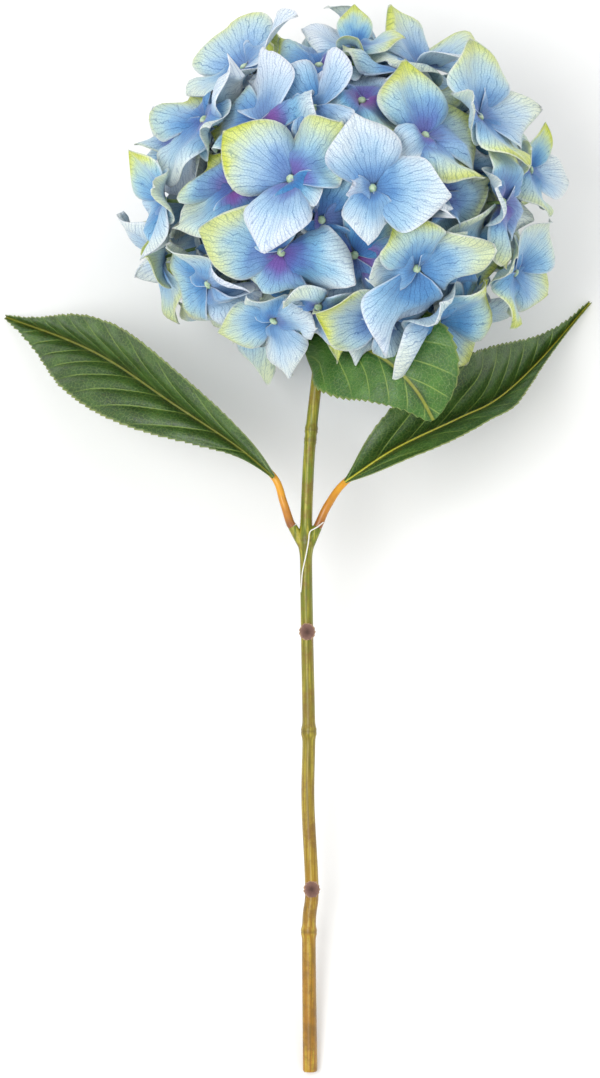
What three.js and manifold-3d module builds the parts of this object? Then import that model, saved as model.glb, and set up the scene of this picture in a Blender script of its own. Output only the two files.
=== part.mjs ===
// A cut hydrangea stem lying on a flat surface: one woody stem, three leaves, and a round flower
// head of four-petalled florets on a branching framework. Millimetres, +Z up.
//
// The plant is drawn in its own frame first: x across it, y along the stem from the cut end, and
// z from the surface it lies on towards the sky. It is then tipped about x, so that it rests on
// the cut end of the stem, on the flattened underside of the head and on two leaf tips.
import * as THREE from 'three';
import { mergeVertices } from 'three/addons/utils/BufferGeometryUtils.js';
import Module from 'manifold-3d';

const wasm = await Module();
wasm.setup();

// Driving dimensions of the flower head
const headCentre = new THREE.Vector3(15, 405, 0);
const headReach = { side: 103, top: 96, below: 76, depth: 95 };
const headRestHeight = 88; // centre of the head above the surface, once its underside is pressed flat
const headHollow = 63; // centre of the head to the level under which no petal reaches, towards the stem
const floretCount = 49;
const floretGap = 0.2; // kept by each floret to the limit of its own cell
const petal = { length: 35, width: 33, thickness: 0.7, along: 2, across: 2, cupDegrees: 26, trough: 0.16 };
const petalStart = 0.04; // a petal starts at this share of its length from the hub
const petalFitting = { smallest: 0.3, shrink: 0.97 }; // a petal that leaves its cell is tried smaller
const petalOutline = [0.3, 1.0, 0.5]; // share of the full width, from the hub to the tip
const petalSector = 0.8; // half width over reach, at most, so that a petal keeps to its own quarter
const peg = { radius: 1.2, buttonRadius: 3.4, sides: 6, innerShare: 0.62, buttonHeight: 1.6, flareAt: 0.8 };
const hubShare = 0.8; // hub of a floret, as a share of the head's radius there

// Driving dimensions of the framework inside the head
const fork = new THREE.Vector3(8, 362, 0);
const forkRadius = 4.2;
const knotCount = 9;
const knot = { share: 0.3, radius: 4, detail: 0, highest: 0.75, lowest: -0.5 };
const limb = { radius: 2, sides: 5 };
const twig = { radius: 1.1, sides: 4, steps: 1, bendShare: 0.45, endShare: 0.615, leave: 0.3 };

// Driving dimensions of the stem, its leaf joint and its bud scars
const stemRadius = { cut: 3.3, top: 2.5 };
const stemSides = 8;
const stemStep = 30;
const stemEnd = 357;
const stemWander = [[0, 0], [-0.5, 66], [0.9, 86], [-0.9, 127], [-0.5, 160], [-1.4, 207], [-1.9, 251],
  [-0.9, 282], [0.5, 301], [2.8, 322], [6.8, stemEnd]];
const nodeRings = [
  { at: 66, swell: 0.7, half: 2.5 },
  { at: 160, swell: 0.7, half: 2.5 },
  { at: 250, swell: 1.3, half: 5 },
  { at: 301, swell: 0.5, half: 2 },
];
const budScars = [{ x: 0.8, at: 86 }, { x: -1.3, at: 207 }];
const budScar = { halfWidth: 3.7, halfLength: 4.2, halfDepth: 3.3, lift: 0.9, around: 8, down: 5 };
const stubRadius = { foot: 2.6, end: 2.2 };
const fit = 0.3; // gap between pieces that meet

// Driving dimensions of the leaves
const blade = { thickness: 0.8, along: 12, across: 4, headGap: 3, narrow: 0.06, unfold: 0.35 };
const stalk = { base: 2.1, tip: 0.8, sides: 8, step: 12, straight: 2.5, bareTaper: 0.35, clear: 1.08 };
const tipClearance = 0.5; // leaf tips stop this far above the surface

// White thread tied at the leaf joint
const thread = { radius: 0.3, sides: 8, steps: 22 };

// Rest pose: the angle that puts the head's centre at its resting height
const endLift = stemRadius.cut;
const layAngle = Math.asin((headRestHeight - endLift) / headCentre.y);
const up = new THREE.Vector3(0, Math.sin(layAngle), Math.cos(layAngle));

// z, in the plant's own frame, of a point that lies the given height above the surface
function restDepth(y, height) {
  return (height - endLift - y * up.y) / up.z;
}

// ---- Solids ----

function toSolid(geometry) {
  geometry.deleteAttribute('normal');
  geometry.deleteAttribute('uv');
  const merged = mergeVertices(geometry, 1e-4);
  const vertProperties = new Float32Array(merged.attributes.position.array);
  const triVerts = new Uint32Array(merged.index.array);
  return new wasm.Manifold(new wasm.Mesh({ numProp: 3, vertProperties, triVerts }));
}

function toGeometry(solid) {
  const mesh = solid.getMesh();
  const geometry = new THREE.BufferGeometry();
  geometry.setAttribute('position', new THREE.BufferAttribute(mesh.vertProperties, mesh.numProp));
  geometry.setIndex(new THREE.BufferAttribute(mesh.triVerts, 1));
  geometry.computeVertexNormals();
  return geometry;
}

function joined(geometries) {
  const solids = geometries.map(toSolid);
  return toGeometry(solids.reduce((whole, solid) => whole.add(solid)));
}

function material(colour, roughness) {
  return new THREE.MeshStandardMaterial({ color: colour, roughness, metalness: 0 });
}

function piece(name, geometry, finish) {
  const mesh = new THREE.Mesh(geometry, finish);
  mesh.name = name;
  return mesh;
}

// A round rod along a curve. stations are shares of the curve's length, radiusAt gives the radius
// at a share, and the rod is a cylinder whose rings are moved onto the curve.
function rod(curve, stations, radiusAt, sides) {
  const geometry = new THREE.CylinderGeometry(1, 1, 1, sides, stations.length - 1);
  const position = geometry.attributes.position;
  const toSky = new THREE.Vector3(0, 0, 1);
  for (let i = 0; i < position.count; i += 1) {
    const share = stations[Math.round((position.getY(i) + 0.5) * (stations.length - 1))];
    const forward = curve.getTangentAt(share);
    const across = new THREE.Vector3().crossVectors(forward, toSky).normalize();
    const over = new THREE.Vector3().crossVectors(across, forward);
    const point = curve.getPointAt(share);
    point.addScaledVector(across, position.getX(i) * radiusAt(share));
    point.addScaledVector(over, position.getZ(i) * radiusAt(share));
    position.setXYZ(i, point.x, point.y, point.z);
  }
  return geometry;
}

function evenStations(steps) {
  return Array.from({ length: steps + 1 }, (_, i) => i / steps);
}

function ball(centre, radius, detail) {
  const geometry = new THREE.IcosahedronGeometry(radius, detail);
  return geometry.translate(centre.x, centre.y, centre.z);
}

// ---- Flower head ----

// A direction from the head's centre: degrees to the right and degrees towards the top, as seen
// from the sky
function facing(acrossDegrees, upDegrees) {
  const across = THREE.MathUtils.degToRad(acrossDegrees);
  const rise = THREE.MathUtils.degToRad(upDegrees);
  const level = Math.cos(rise);
  return new THREE.Vector3(Math.sin(across) * level, Math.sin(rise), Math.cos(across) * level);
}

// The head is an egg round its centre, cut level on the side of the stem and pressed flat where it
// rests on the surface
function headRadius(direction) {
  const { side, top, below, depth } = headReach;
  const along = direction.y > 0 ? top : below;
  const egg = 1 / Math.hypot(direction.x / side, direction.y / along, direction.z / depth);
  const sink = -direction.dot(up);
  const pressed = sink > 0 ? headRestHeight / sink : Infinity;
  const level = direction.y < 0 ? headHollow / -direction.y : Infinity;
  return Math.min(egg, pressed, level);
}

// The florets that face the sky, each by degrees across, degrees up and the turn of its petals
const skyFlorets = [
  [10, 4, -10], [-18, 7, 45], [-25, -19, 22], [36, 2, 50], [9, 42, 40],
  [38, 53, -5], [32, 23, -10], [63, 1, 20], [54, -22, 5], [5, -22, 25],
  [30, -24, 0], [27, -49, 30], [-14, -45, 60], [-66, -28, -5], [-42, 6, 35],
  [-32, 28, -10], [-12, 34, 20], [-17, 60, 20], [-78, 55, 0], [-72, 2, 30],
  [-97, -14, 10], [20, 77, 45], [62, 30, 0], [88, 12, 30], [86, -20, 15],
  [60, -47, 50], [-62, 29, 20], [-48, -51, 35],
];
const turnStep = 37; // degrees from one filled-in floret's petals to the next one's
const bareCone = 38; // degrees round the stem that carry no floret
const candidates = 900;
const coneRoom = 0.42; // radians of room that a direction right at the bare cone's edge counts as having

// Candidate directions spread evenly over the sphere on a golden spiral
function spiralDirection(i) {
  const height = 1 - (2 * (i + 0.5)) / candidates;
  const turn = i * Math.PI * (3 - Math.sqrt(5));
  const ring = Math.sqrt(1 - height * height);
  return new THREE.Vector3(ring * Math.cos(turn), height, ring * Math.sin(turn));
}

const stemDirection = new THREE.Vector3(0, -1, 0);

// Each further floret takes the free direction that lies farthest from all those placed so far
function placeFlorets() {
  const florets = skyFlorets.map(([across, rise, turn]) => ({ direction: facing(across, rise), turn }));
  const nearest = (direction) => Math.min(...florets.map((floret) => floret.direction.angleTo(direction)));
  const coneAngle = THREE.MathUtils.degToRad(bareCone);
  while (florets.length < floretCount) {
    let best = null;
    let bestRoom = 0;
    for (let i = 0; i < candidates; i += 1) {
      const direction = spiralDirection(i);
      const room = Math.min(nearest(direction), direction.angleTo(stemDirection) - coneAngle + coneRoom);
      if (room > bestRoom) {
        bestRoom = room;
        best = direction;
      }
    }
    florets.push({ direction: best, turn: florets.length * turnStep });
  }
  return florets;
}

const florets = placeFlorets();

// A point is in a floret's cell when it lies nearer to that floret's direction than to any other's
function insideCell(floret, offset) {
  const rivals = florets.filter((other) => other !== floret).map((other) => other.direction);
  rivals.push(stemDirection);
  return rivals.every((rival) => {
    const towards = new THREE.Vector3().subVectors(floret.direction, rival).normalize();
    return offset.dot(towards) > floretGap;
  });
}

// One petal: a thin box whose layers are laid out as a cupped petal from the hub
function petalGeometry(floret, turnDegrees, size) {
  const geometry = new THREE.BoxGeometry(1, 1, 1, petal.along, petal.across, 1);
  const position = geometry.attributes.position;
  const outward = floret.direction;
  const { first, second } = floret.axes;
  const turn = THREE.MathUtils.degToRad(turnDegrees);
  const cup = THREE.MathUtils.degToRad(petal.cupDegrees);
  const forward = first.clone().multiplyScalar(Math.cos(turn)).addScaledVector(second, Math.sin(turn));
  const sideways = new THREE.Vector3().crossVectors(outward, forward);
  const limits = [];
  for (let i = 0; i < position.count; i += 1) {
    const u = position.getX(i) + 0.5;
    const v = position.getY(i) * 2;
    const reach = size * petal.length * (petalStart + (1 - petalStart) * u);
    const fullWidth = size * petal.width * petalOutline[Math.round(u * petal.along)];
    const halfWidth = Math.min(fullWidth / 2, reach * petalSector);
    const rise = reach * Math.sin(cup) + petal.trough * halfWidth * v * v;
    const offset = new THREE.Vector3().copy(outward).multiplyScalar(floret.hubRadius + rise);
    offset.addScaledVector(forward, reach * Math.cos(cup)).addScaledVector(sideways, halfWidth * v);
    const direction = offset.clone().normalize();
    const surface = Math.min(offset.length(), headRadius(direction));
    const radius = surface - (0.5 - position.getZ(i)) * petal.thickness;
    offset.copy(direction).multiplyScalar(radius);
    limits.push(insideCell(floret, offset));
    offset.add(headCentre);
    position.setXYZ(i, offset.x, offset.y, offset.z);
  }
  return { geometry, fits: limits.every((limit) => limit) };
}

// The largest petal, at that turn, that stays in the floret's cell
function fittedPetal(floret, turnDegrees) {
  const { smallest, shrink } = petalFitting;
  for (let size = 1; size > smallest; size *= shrink) {
    const trial = petalGeometry(floret, turnDegrees, size);
    if (trial.fits) return trial.geometry;
  }
  return petalGeometry(floret, turnDegrees, smallest).geometry;
}

function floretGeometry(floret) {
  const hub = floret.direction.clone().multiplyScalar(floret.hubRadius).add(headCentre);
  const footRadius = headRadius(floret.direction) * peg.innerShare;
  const pegFoot = floret.direction.clone().multiplyScalar(footRadius).add(headCentre);
  const petals = [0, 90, 180, 270].map((quarter) => fittedPetal(floret, floret.turn + quarter));
  const top = hub.clone().addScaledVector(floret.direction, peg.buttonHeight);
  const radiusAt = (share) => (share < 0.5 ? peg.radius : peg.buttonRadius);
  const pegRod = rod(new THREE.LineCurve3(pegFoot, top), [0, peg.flareAt, 1], radiusAt, peg.sides);
  return joined([pegRod, ...petals]);
}

const poleShare = 0.97; // beyond this, a floret faces straight along the plant

for (const floret of florets) {
  floret.hubRadius = headRadius(floret.direction) * hubShare;
  // first points to the top of the plant as seen from outside the head, second to the right of it
  const nearPole = Math.abs(floret.direction.y) > poleShare;
  const pole = nearPole ? new THREE.Vector3(0, 0, -1) : new THREE.Vector3(0, 1, 0);
  const first = pole.addScaledVector(floret.direction, -pole.dot(floret.direction)).normalize();
  floret.axes = { first, second: new THREE.Vector3().crossVectors(first, floret.direction) };
}

// ---- Branching framework ----

// Knots lie on a small shell round the head's centre, spread evenly, and each floret's twig grows
// from the nearest one
function knotPoints() {
  return Array.from({ length: knotCount }, (_, i) => {
    const height = THREE.MathUtils.lerp(knot.highest, knot.lowest, i / (knotCount - 1));
    const turn = i * Math.PI * (3 - Math.sqrt(5));
    const ring = Math.sqrt(1 - height * height);
    const direction = new THREE.Vector3(ring * Math.cos(turn), height, ring * Math.sin(turn));
    return direction.clone().multiplyScalar(headRadius(direction) * knot.share).add(headCentre);
  });
}

function twigGeometry(floret, knots) {
  const radius = headRadius(floret.direction);
  const end = floret.direction.clone().multiplyScalar(radius * twig.endShare).add(headCentre);
  const beforeEnd = floret.direction.clone().multiplyScalar(radius * twig.bendShare).add(headCentre);
  const nearer = (near, point) => (point.distanceTo(end) < near.distanceTo(end) ? point : near);
  const start = knots.reduce(nearer);
  const afterStart = start.clone().lerp(end, twig.leave);
  const curve = new THREE.CubicBezierCurve3(start, afterStart, beforeEnd, end);
  return rod(curve, evenStations(twig.steps), () => twig.radius, twig.sides);
}

function framework() {
  const knots = knotPoints();
  const limbTo = (point) => rod(new THREE.LineCurve3(fork, point), [0, 1], () => limb.radius, limb.sides);
  const limbs = knots.map(limbTo);
  const balls = knots.map((point) => ball(point, knot.radius, knot.detail));
  const stemTop = stemCurve.getPointAt(1).addScaledVector(stemCurve.getTangentAt(1), fit);
  const trunk = rod(new THREE.LineCurve3(stemTop, fork), [0, 1], () => stemRadius.top, stemSides);
  const twigs = florets.map((floret) => twigGeometry(floret, knots));
  const finish = material('#7d9a4a', 0.6);
  const parts = [ball(fork, forkRadius, 1), trunk, ...limbs, ...balls, ...twigs];
  return piece('flower_branches', joined(parts), finish);
}

function floretPiece(floret, i) {
  const tints = ['#9cc0e6', '#a79fdb', '#7f9fd8', '#c3c9ee', '#8f86cf', '#b9cf8a', '#86b4dc'];
  const name = `floret_${String(i + 1).padStart(2, '0')}`;
  return piece(name, floretGeometry(floret), material(tints[i % tints.length], 0.72));
}

// ---- Stem ----

const stemCurve = new THREE.CatmullRomCurve3(stemWander.map(([x, y]) => new THREE.Vector3(x, y, 0)));

function stemRadiusAt(share) {
  const along = share * stemCurve.getLength();
  const plain = THREE.MathUtils.lerp(stemRadius.cut, stemRadius.top, share);
  const ring = nodeRings.find((candidate) => Math.abs(candidate.at - along) < candidate.half - 0.01);
  return ring ? plain + ring.swell : plain;
}

function stemStations() {
  const length = stemCurve.getLength();
  const marks = [];
  for (let at = 0; at < length - stemStep / 2; at += stemStep) marks.push(at);
  marks.push(length);
  const plain = marks.filter((at) => nodeRings.every((ring) => Math.abs(ring.at - at) > ring.half + 2));
  const rings = nodeRings.flatMap((ring) => [ring.at - ring.half, ring.at, ring.at + ring.half]);
  return [...plain, ...rings].sort((a, b) => a - b).map((at) => at / length);
}

function scarGeometry(scar) {
  const geometry = new THREE.SphereGeometry(1, budScar.around, budScar.down);
  geometry.scale(budScar.halfWidth, budScar.halfLength, budScar.halfDepth);
  return geometry.translate(scar.x, scar.at, budScar.lift);
}

// A short green stub that a leaf stalk sits on
function stubGeometry([start, end]) {
  const radiusAt = (share) => THREE.MathUtils.lerp(stubRadius.foot, stubRadius.end, share);
  return rod(new THREE.LineCurve3(start, end), [0, 1], radiusAt, stalk.sides);
}

function stem() {
  const trunk = rod(stemCurve, stemStations(), stemRadiusAt, stemSides);
  const scars = budScars.map(scarGeometry);
  const stubs = leaves.map((leaf) => stubGeometry(leaf.stub));
  return piece('flower_stem', joined([trunk, ...scars, ...stubs]), material('#7f8a3c', 0.42));
}

// ---- Leaves ----

// Each leaf: its stub on the stem, its stalk, the line of its midrib, the true half widths of its
// blade, how far each half folds up from flat, and the direction its upper face looks
const leaves = [
  {
    name: 'left',
    stub: [new THREE.Vector3(-3, 247.5, 0), new THREE.Vector3(-8.2, 256.4, 0.4)],
    stalkBend: new THREE.Vector3(-12.5, 268, 1.4),
    midrib: [[-16.9, 279.7, 3], [-35.3, 295, 3], [-65.8, 315.5, -10], [-94, 335, -31], [-117.5, 347, -53]],
    tip: [-142.4, 353.9],
    faces: new THREE.Vector3(-0.12, 0.1, 1),
    widths: { left: 27, right: 27 },
    folds: { left: 30, right: 60 },
    peak: 0.5,
    stalkShare: 0.6,
  },
  {
    name: 'right',
    stub: [new THREE.Vector3(-0.6, 247.5, 0), new THREE.Vector3(3.5, 256.2, 0.4)],
    stalkBend: new THREE.Vector3(8.4, 266.5, 1.4),
    midrib: [[16.5, 277.3, 3], [40, 292.8, 3], [70.5, 309.5, -12], [89.3, 322, -27], [110, 342.5, -52]],
    tip: [131.6, 362.8],
    faces: new THREE.Vector3(0.12, -0.1, 1),
    widths: { left: 29, right: 26 },
    folds: { left: 28, right: 80 },
    peak: 0.42,
    stalkShare: 0.75,
  },
  {
    name: 'front',
    stub: [new THREE.Vector3(3.6, 326, 1), new THREE.Vector3(6.2, 330.6, 4.6)],
    stalkBend: new THREE.Vector3(9, 334.6, 7.6),
    midrib: [[13, 337.5, 13], [22, 338.5, 21], [32.4, 335.5, 29], [41, 329.5, 34], [48, 321.5, 36]],
    tip: [57.3, 306],
    tipDepth: 30,
    faces: new THREE.Vector3(-0.12, -0.3, 0.95),
    widths: { left: 29, right: 27 },
    folds: { left: -10, right: -16 },
    peak: 0.42,
    stalkShare: 0.25,
  },
];

// Share of the full half width at a share of the midrib: narrow at the base, a pointed tip
function bladeOutline(share, peak) {
  const towardsEnd = share < peak ? 1 - share / peak : (share - peak) / (1 - peak);
  const fullness = share < peak ? 0.8 : 1.35;
  const wide = Math.max(Math.cos(towardsEnd * (Math.PI / 2)), 0) ** fullness;
  return blade.narrow + (1 - blade.narrow) * wide;
}

function midribCurve(leaf) {
  const tipDepth = leaf.tipDepth ?? restDepth(leaf.tip[1], tipClearance + blade.thickness);
  const points = [...leaf.midrib, [...leaf.tip, tipDepth]];
  return new THREE.CatmullRomCurve3(points.map(([x, y, z]) => new THREE.Vector3(x, y, z)));
}

// Directions at a share of the midrib: forward along it, to its left, and out of its upper face
function bladeAxes(curve, leaf, share) {
  const forward = curve.getTangentAt(share);
  const left = new THREE.Vector3().crossVectors(leaf.faces, forward).normalize();
  const out = new THREE.Vector3().crossVectors(forward, left);
  return { forward, left, out };
}

// Moves a point out of the head, in line with its centre, until it lies the head gap outside it
function clearOfHead(point) {
  const offset = point.clone().sub(headCentre);
  const least = headRadius(offset.clone().normalize()) + blade.headGap;
  return offset.length() < least ? offset.setLength(least).add(headCentre) : point;
}

// A thin box whose layers are laid along the midrib, each half folded up by its own angle
function bladePiece(leaf) {
  const curve = midribCurve(leaf);
  const geometry = new THREE.BoxGeometry(1, 1, 1, blade.along, blade.across, 1);
  const position = geometry.attributes.position;
  for (let i = 0; i < position.count; i += 1) {
    const share = position.getX(i) + 0.5;
    const v = position.getY(i) * 2;
    const { left, out } = bladeAxes(curve, leaf, share);
    const half = v > 0 ? 'left' : 'right';
    const width = leaf.widths[half] * bladeOutline(share, leaf.peak) * v;
    const fold = THREE.MathUtils.degToRad(leaf.folds[half] * (1 - blade.unfold * share));
    const point = curve.getPointAt(share);
    point.addScaledVector(left, width * Math.cos(fold));
    point.addScaledVector(out, Math.abs(width) * Math.sin(fold));
    const clear = clearOfHead(point).addScaledVector(out, position.getZ(i) * blade.thickness);
    position.setXYZ(i, clear.x, clear.y, clear.z);
  }
  return piece(`${leaf.name}_leaf_blade`, joined([geometry]), material('#3f6b34', 0.55));
}

// The stalk runs from its stub to the blade's base and on beneath the blade as its spine
function stalkPiece(leaf) {
  const curve = midribCurve(leaf);
  const under = blade.thickness / 2 + fit;
  const [stubStart, stubEnd] = leaf.stub;
  const alongStub = stubEnd.clone().sub(stubStart).normalize();
  const start = stubEnd.clone().addScaledVector(alongStub, fit);
  const straight = stubEnd.clone().addScaledVector(alongStub, stalk.straight);
  const reach = evenStations(6).map((step) => step * leaf.stalkShare);
  const beneath = reach.map((share) => {
    const { out } = bladeAxes(curve, leaf, share);
    const taper = THREE.MathUtils.lerp(stalk.bareTaper, 1, share / leaf.stalkShare);
    const radius = THREE.MathUtils.lerp(stalk.base, stalk.tip, taper);
    return curve.getPointAt(share).addScaledVector(out, -under - radius * stalk.clear);
  });
  const path = new THREE.CatmullRomCurve3([start, straight, leaf.stalkBend, ...beneath]);
  const length = path.getLength();
  const free = start.distanceTo(leaf.stalkBend) + leaf.stalkBend.distanceTo(beneath[0]);
  const bare = free / length;
  const radiusAt = (share) => {
    const beyond = Math.max(0, (share - bare) / (1 - bare));
    const beneathTaper = THREE.MathUtils.lerp(stalk.bareTaper, 1, beyond);
    const taper = share < bare ? (stalk.bareTaper * share) / bare : beneathTaper;
    return THREE.MathUtils.lerp(stalk.base, stalk.tip, taper);
  };
  const rodGeometry = rod(path, evenStations(Math.round(length / stalk.step) + 2), radiusAt, stalk.sides);
  return piece(`${leaf.name}_leaf_stalk`, joined([rodGeometry]), material('#d98f24', 0.45));
}

// ---- Thread ----

// The thread's route over the leaf joint and down the upper side of the stem, point by point
const threadRoute = [
  [6.2, 258.4, 2.4], [5.2, 257.6, 3.3], [3.4, 256.2, 4.3], [1.6, 255.2, 4.9], [0.2, 254.3, 5.0],
  [-0.4, 252.6, 4.9], [-0.6, 250.4, 5.0], [-0.9, 248.2, 4.9], [-1.4, 245.6, 4.5], [-2.0, 242.4, 3.9],
  [-2.8, 238.9, 3.6], [-3.5, 235.5, 3.4], [-3.9, 231.7, 3.2], [-4.1, 228.6, 3.1], [-4.4, 225.6, 3.0],
];

function tieThread() {
  const path = new THREE.CatmullRomCurve3(threadRoute.map(([x, y, z]) => new THREE.Vector3(x, y, z)));
  const section = new THREE.Shape();
  for (let i = 0; i < thread.sides; i += 1) {
    const turn = (i / thread.sides) * Math.PI * 2;
    const x = thread.radius * Math.cos(turn);
    const y = thread.radius * Math.sin(turn);
    if (i === 0) section.moveTo(x, y);
    else section.lineTo(x, y);
  }
  const options = { steps: thread.steps, extrudePath: path, bevelEnabled: false };
  const geometry = new THREE.ExtrudeGeometry(section, options);
  return piece('tie_thread', joined([geometry]), material('#f3f2ec', 0.85));
}

// ---- The whole plant, laid down ----

const plant = new THREE.Group();
plant.add(stem());
plant.add(framework());
plant.add(...leaves.map(bladePiece));
plant.add(...leaves.map(stalkPiece));
plant.add(tieThread());
plant.add(...florets.map(floretPiece));
plant.rotation.x = layAngle;

// The origin is the middle of the underside of the plant's box
const hydrangea = new THREE.Group();
hydrangea.add(plant);
hydrangea.updateMatrixWorld(true);
const box = new THREE.Box3().setFromObject(hydrangea, true);
const middle = box.getCenter(new THREE.Vector3());
plant.position.set(-middle.x, -middle.y, -box.min.z);

export default hydrangea;
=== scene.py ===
import math
import bpy
import numpy as np
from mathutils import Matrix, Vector


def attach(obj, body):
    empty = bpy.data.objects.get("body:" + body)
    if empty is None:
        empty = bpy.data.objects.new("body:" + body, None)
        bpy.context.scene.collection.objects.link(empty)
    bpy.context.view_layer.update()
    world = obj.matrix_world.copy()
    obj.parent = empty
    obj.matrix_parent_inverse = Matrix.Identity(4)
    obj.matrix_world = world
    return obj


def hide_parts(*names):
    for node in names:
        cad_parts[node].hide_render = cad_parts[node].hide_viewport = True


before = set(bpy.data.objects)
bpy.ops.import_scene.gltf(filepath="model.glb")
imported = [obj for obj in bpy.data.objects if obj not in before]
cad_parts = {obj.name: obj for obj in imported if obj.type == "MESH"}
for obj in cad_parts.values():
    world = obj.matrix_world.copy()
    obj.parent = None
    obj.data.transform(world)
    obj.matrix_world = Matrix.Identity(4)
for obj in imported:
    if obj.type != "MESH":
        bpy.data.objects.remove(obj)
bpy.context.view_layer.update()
draw = np.random.default_rng(2718)


def readPoints(mesh):
    flat = np.zeros(len(mesh.vertices) * 3)
    mesh.vertices.foreach_get("co", flat)
    return flat.reshape(-1, 3)


# the number of the point at each corner of each face
def readCorners(mesh):
    corners = np.zeros(len(mesh.loops), int)
    mesh.loops.foreach_get("vertex_index", corners)
    return corners


# the places of a node's points, and its triangles between them
def nodePoints(node):
    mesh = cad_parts[node].data
    places, index = np.unique(readPoints(mesh).round(6), axis=0, return_inverse=True)
    return places, index.ravel()[readCorners(mesh)].reshape(-1, 3)


# the cut end of the stem is the plant's own zero point, and its topmost edge shows how far the plant leans
stemPlaces, _ = nodePoints("flower_stem")
cutEnd = stemPlaces[stemPlaces[:, 1] < stemPlaces[:, 1].min() + 0.003]
plantZero = cutEnd.mean(axis=0)
cutTop = cutEnd[cutEnd[:, 2].argmax()] - plantZero
layAngle = math.atan2(-cutTop[1], cutTop[2])
towardsSky = np.array([0.0, -math.sin(layAngle), math.cos(layAngle)])
alongPlant = np.array([0.0, math.cos(layAngle), math.sin(layAngle)])
sideways = np.array([1.0, 0, 0])


# millimetres on the plant (across, along, towards the sky) to metres in the row frame
def onPlant(points):
    points = np.atleast_2d(np.array(points, float)) * 0.001
    place = plantZero + points[:, :1] * sideways
    return place + points[:, 1:2] * alongPlant + points[:, 2:3] * towardsSky


def smooth(low, high, value):
    share = np.clip((value - low) / (high - low), 0, 1)
    return share * share * (3 - 2 * share)


def unit(vectors):
    return vectors / np.linalg.norm(vectors, axis=-1, keepdims=True)


# how far along a line each of its points lies
def walked(line):
    return np.r_[0, np.cumsum(np.linalg.norm(np.diff(line, axis=0), axis=1))]


# directions that turn on by the golden angle are spread evenly
def spiralDirection(i, height):
    flat = math.sqrt(1 - height * height)
    turn = i * math.pi * (3 - math.sqrt(5))
    return flat * math.cos(turn) * sideways + height * alongPlant + flat * math.sin(turn) * towardsSky


view = {
    "middle": (-4.7, 250.6, 0),   # what it centres on, in plant millimetres
    "height": 507,                # millimetres of the plant's plane that it takes in
    "distance": 2.4,
}


def makeCamera():
    data = bpy.data.cameras.new("camera")
    data.sensor_fit = "VERTICAL"
    data.sensor_height = 36
    data.lens = data.sensor_height * view["distance"] / (view["height"] * 0.001)
    camera = addObject("camera", data)
    target = Vector(onPlant(view["middle"])[0])
    camera.location = target + Vector(towardsSky) * view["distance"]
    camera.rotation_euler = (target - camera.location).to_track_quat("-Z", "Y").to_euler()
    bpy.context.scene.camera = camera


# sRGB hex to the linear colour that a socket takes
def linear(hexColour):
    parts = [int(hexColour[i:i + 2], 16) / 255 for i in (1, 3, 5)]
    return tuple(p / 12.92 if p <= 0.04045 else ((p + 0.055) / 1.055) ** 2.4 for p in parts) + (1.0,)


# adds a node with its inputs, ramp stops and settings; an input that is a socket is linked
def addNode(tree, kind, inputs=(), stops=(), **settings):
    node = tree.nodes.new("ShaderNode" + kind)
    for key, value in settings.items():
        setattr(node, key, value)
    for key, value in inputs.items() if isinstance(inputs, dict) else enumerate(inputs):
        if isinstance(value, bpy.types.NodeSocket):
            tree.links.new(value, node.inputs[key])
        else:
            node.inputs[key].default_value = value
    while stops and len(node.color_ramp.elements) < len(stops):
        node.color_ramp.elements.new(1.0)
    for i, (position, colour) in enumerate(stops):
        node.color_ramp.elements[i].position = position
        node.color_ramp.elements[i].color = linear(colour)
    return node.outputs


def newMaterial(name, settings):
    material = bpy.data.materials.new(name)
    material.use_nodes = True
    shader = material.node_tree.nodes["Principled BSDF"]
    for key, value in settings.items():
        shader.inputs[key].default_value = value
    return material, material.node_tree


# links the finished colour and, with a height, the relief to the shader
def finishMaterial(material, colour, height=None, strength=0.5, depth=0.0004, invert=False):
    tree = material.node_tree
    shader = tree.nodes["Principled BSDF"]
    tree.links.new(colour, shader.inputs["Base Color"])
    if height is not None:
        bump = addNode(tree, "Bump", {"Height": height, "Strength": strength, "Distance": depth},
                       invert=invert)["Normal"]
        tree.links.new(bump, shader.inputs["Normal"])
    return material


def addObject(name, data):
    thing = bpy.data.objects.new(name, data)
    bpy.context.scene.collection.objects.link(thing)
    return thing


def deselectAll():
    bpy.ops.object.select_all(action="DESELECT")


def selectOnly(thing):
    deselectAll()
    thing.select_set(True)
    bpy.context.view_layer.objects.active = thing


def joinAll(objects, name):
    deselectAll()
    for one in objects:
        one.select_set(True)
    bpy.context.view_layer.objects.active = objects[0]
    bpy.ops.object.join()
    whole = bpy.context.active_object
    whole.name = whole.data.name = name
    return whole


def writePoints(mesh, places):
    mesh.vertices.foreach_set("co", np.ascontiguousarray(places, dtype=np.float32).ravel())
    mesh.update()


def setAttribute(mesh, name, kind, key, values):
    attribute = mesh.attributes.get(name) or mesh.attributes.new(name, kind, "POINT")
    attribute.data.foreach_set(key, np.ascontiguousarray(values, dtype=np.float32).ravel())


# a round curve along points, with a radius at each
def makeCurve(name, points, radii, resolution):
    curve = bpy.data.curves.new(name, "CURVE")
    curve.dimensions = "3D"
    curve.bevel_depth = 1.0
    curve.bevel_resolution = resolution
    curve.use_fill_caps = True
    spline = curve.splines.new("POLY")
    spline.points.add(len(points) - 1)
    for point, place, radius in zip(spline.points, points, radii):
        point.co = (*place, 1)
        point.radius = radius
    return addObject(name, curve)


def makeRod(name, points, radii, sides):
    selectOnly(makeCurve(name, points, radii, sides // 4 - 1))
    bpy.ops.object.convert(target="MESH")
    bpy.ops.object.shade_smooth()
    return bpy.context.active_object


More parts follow.
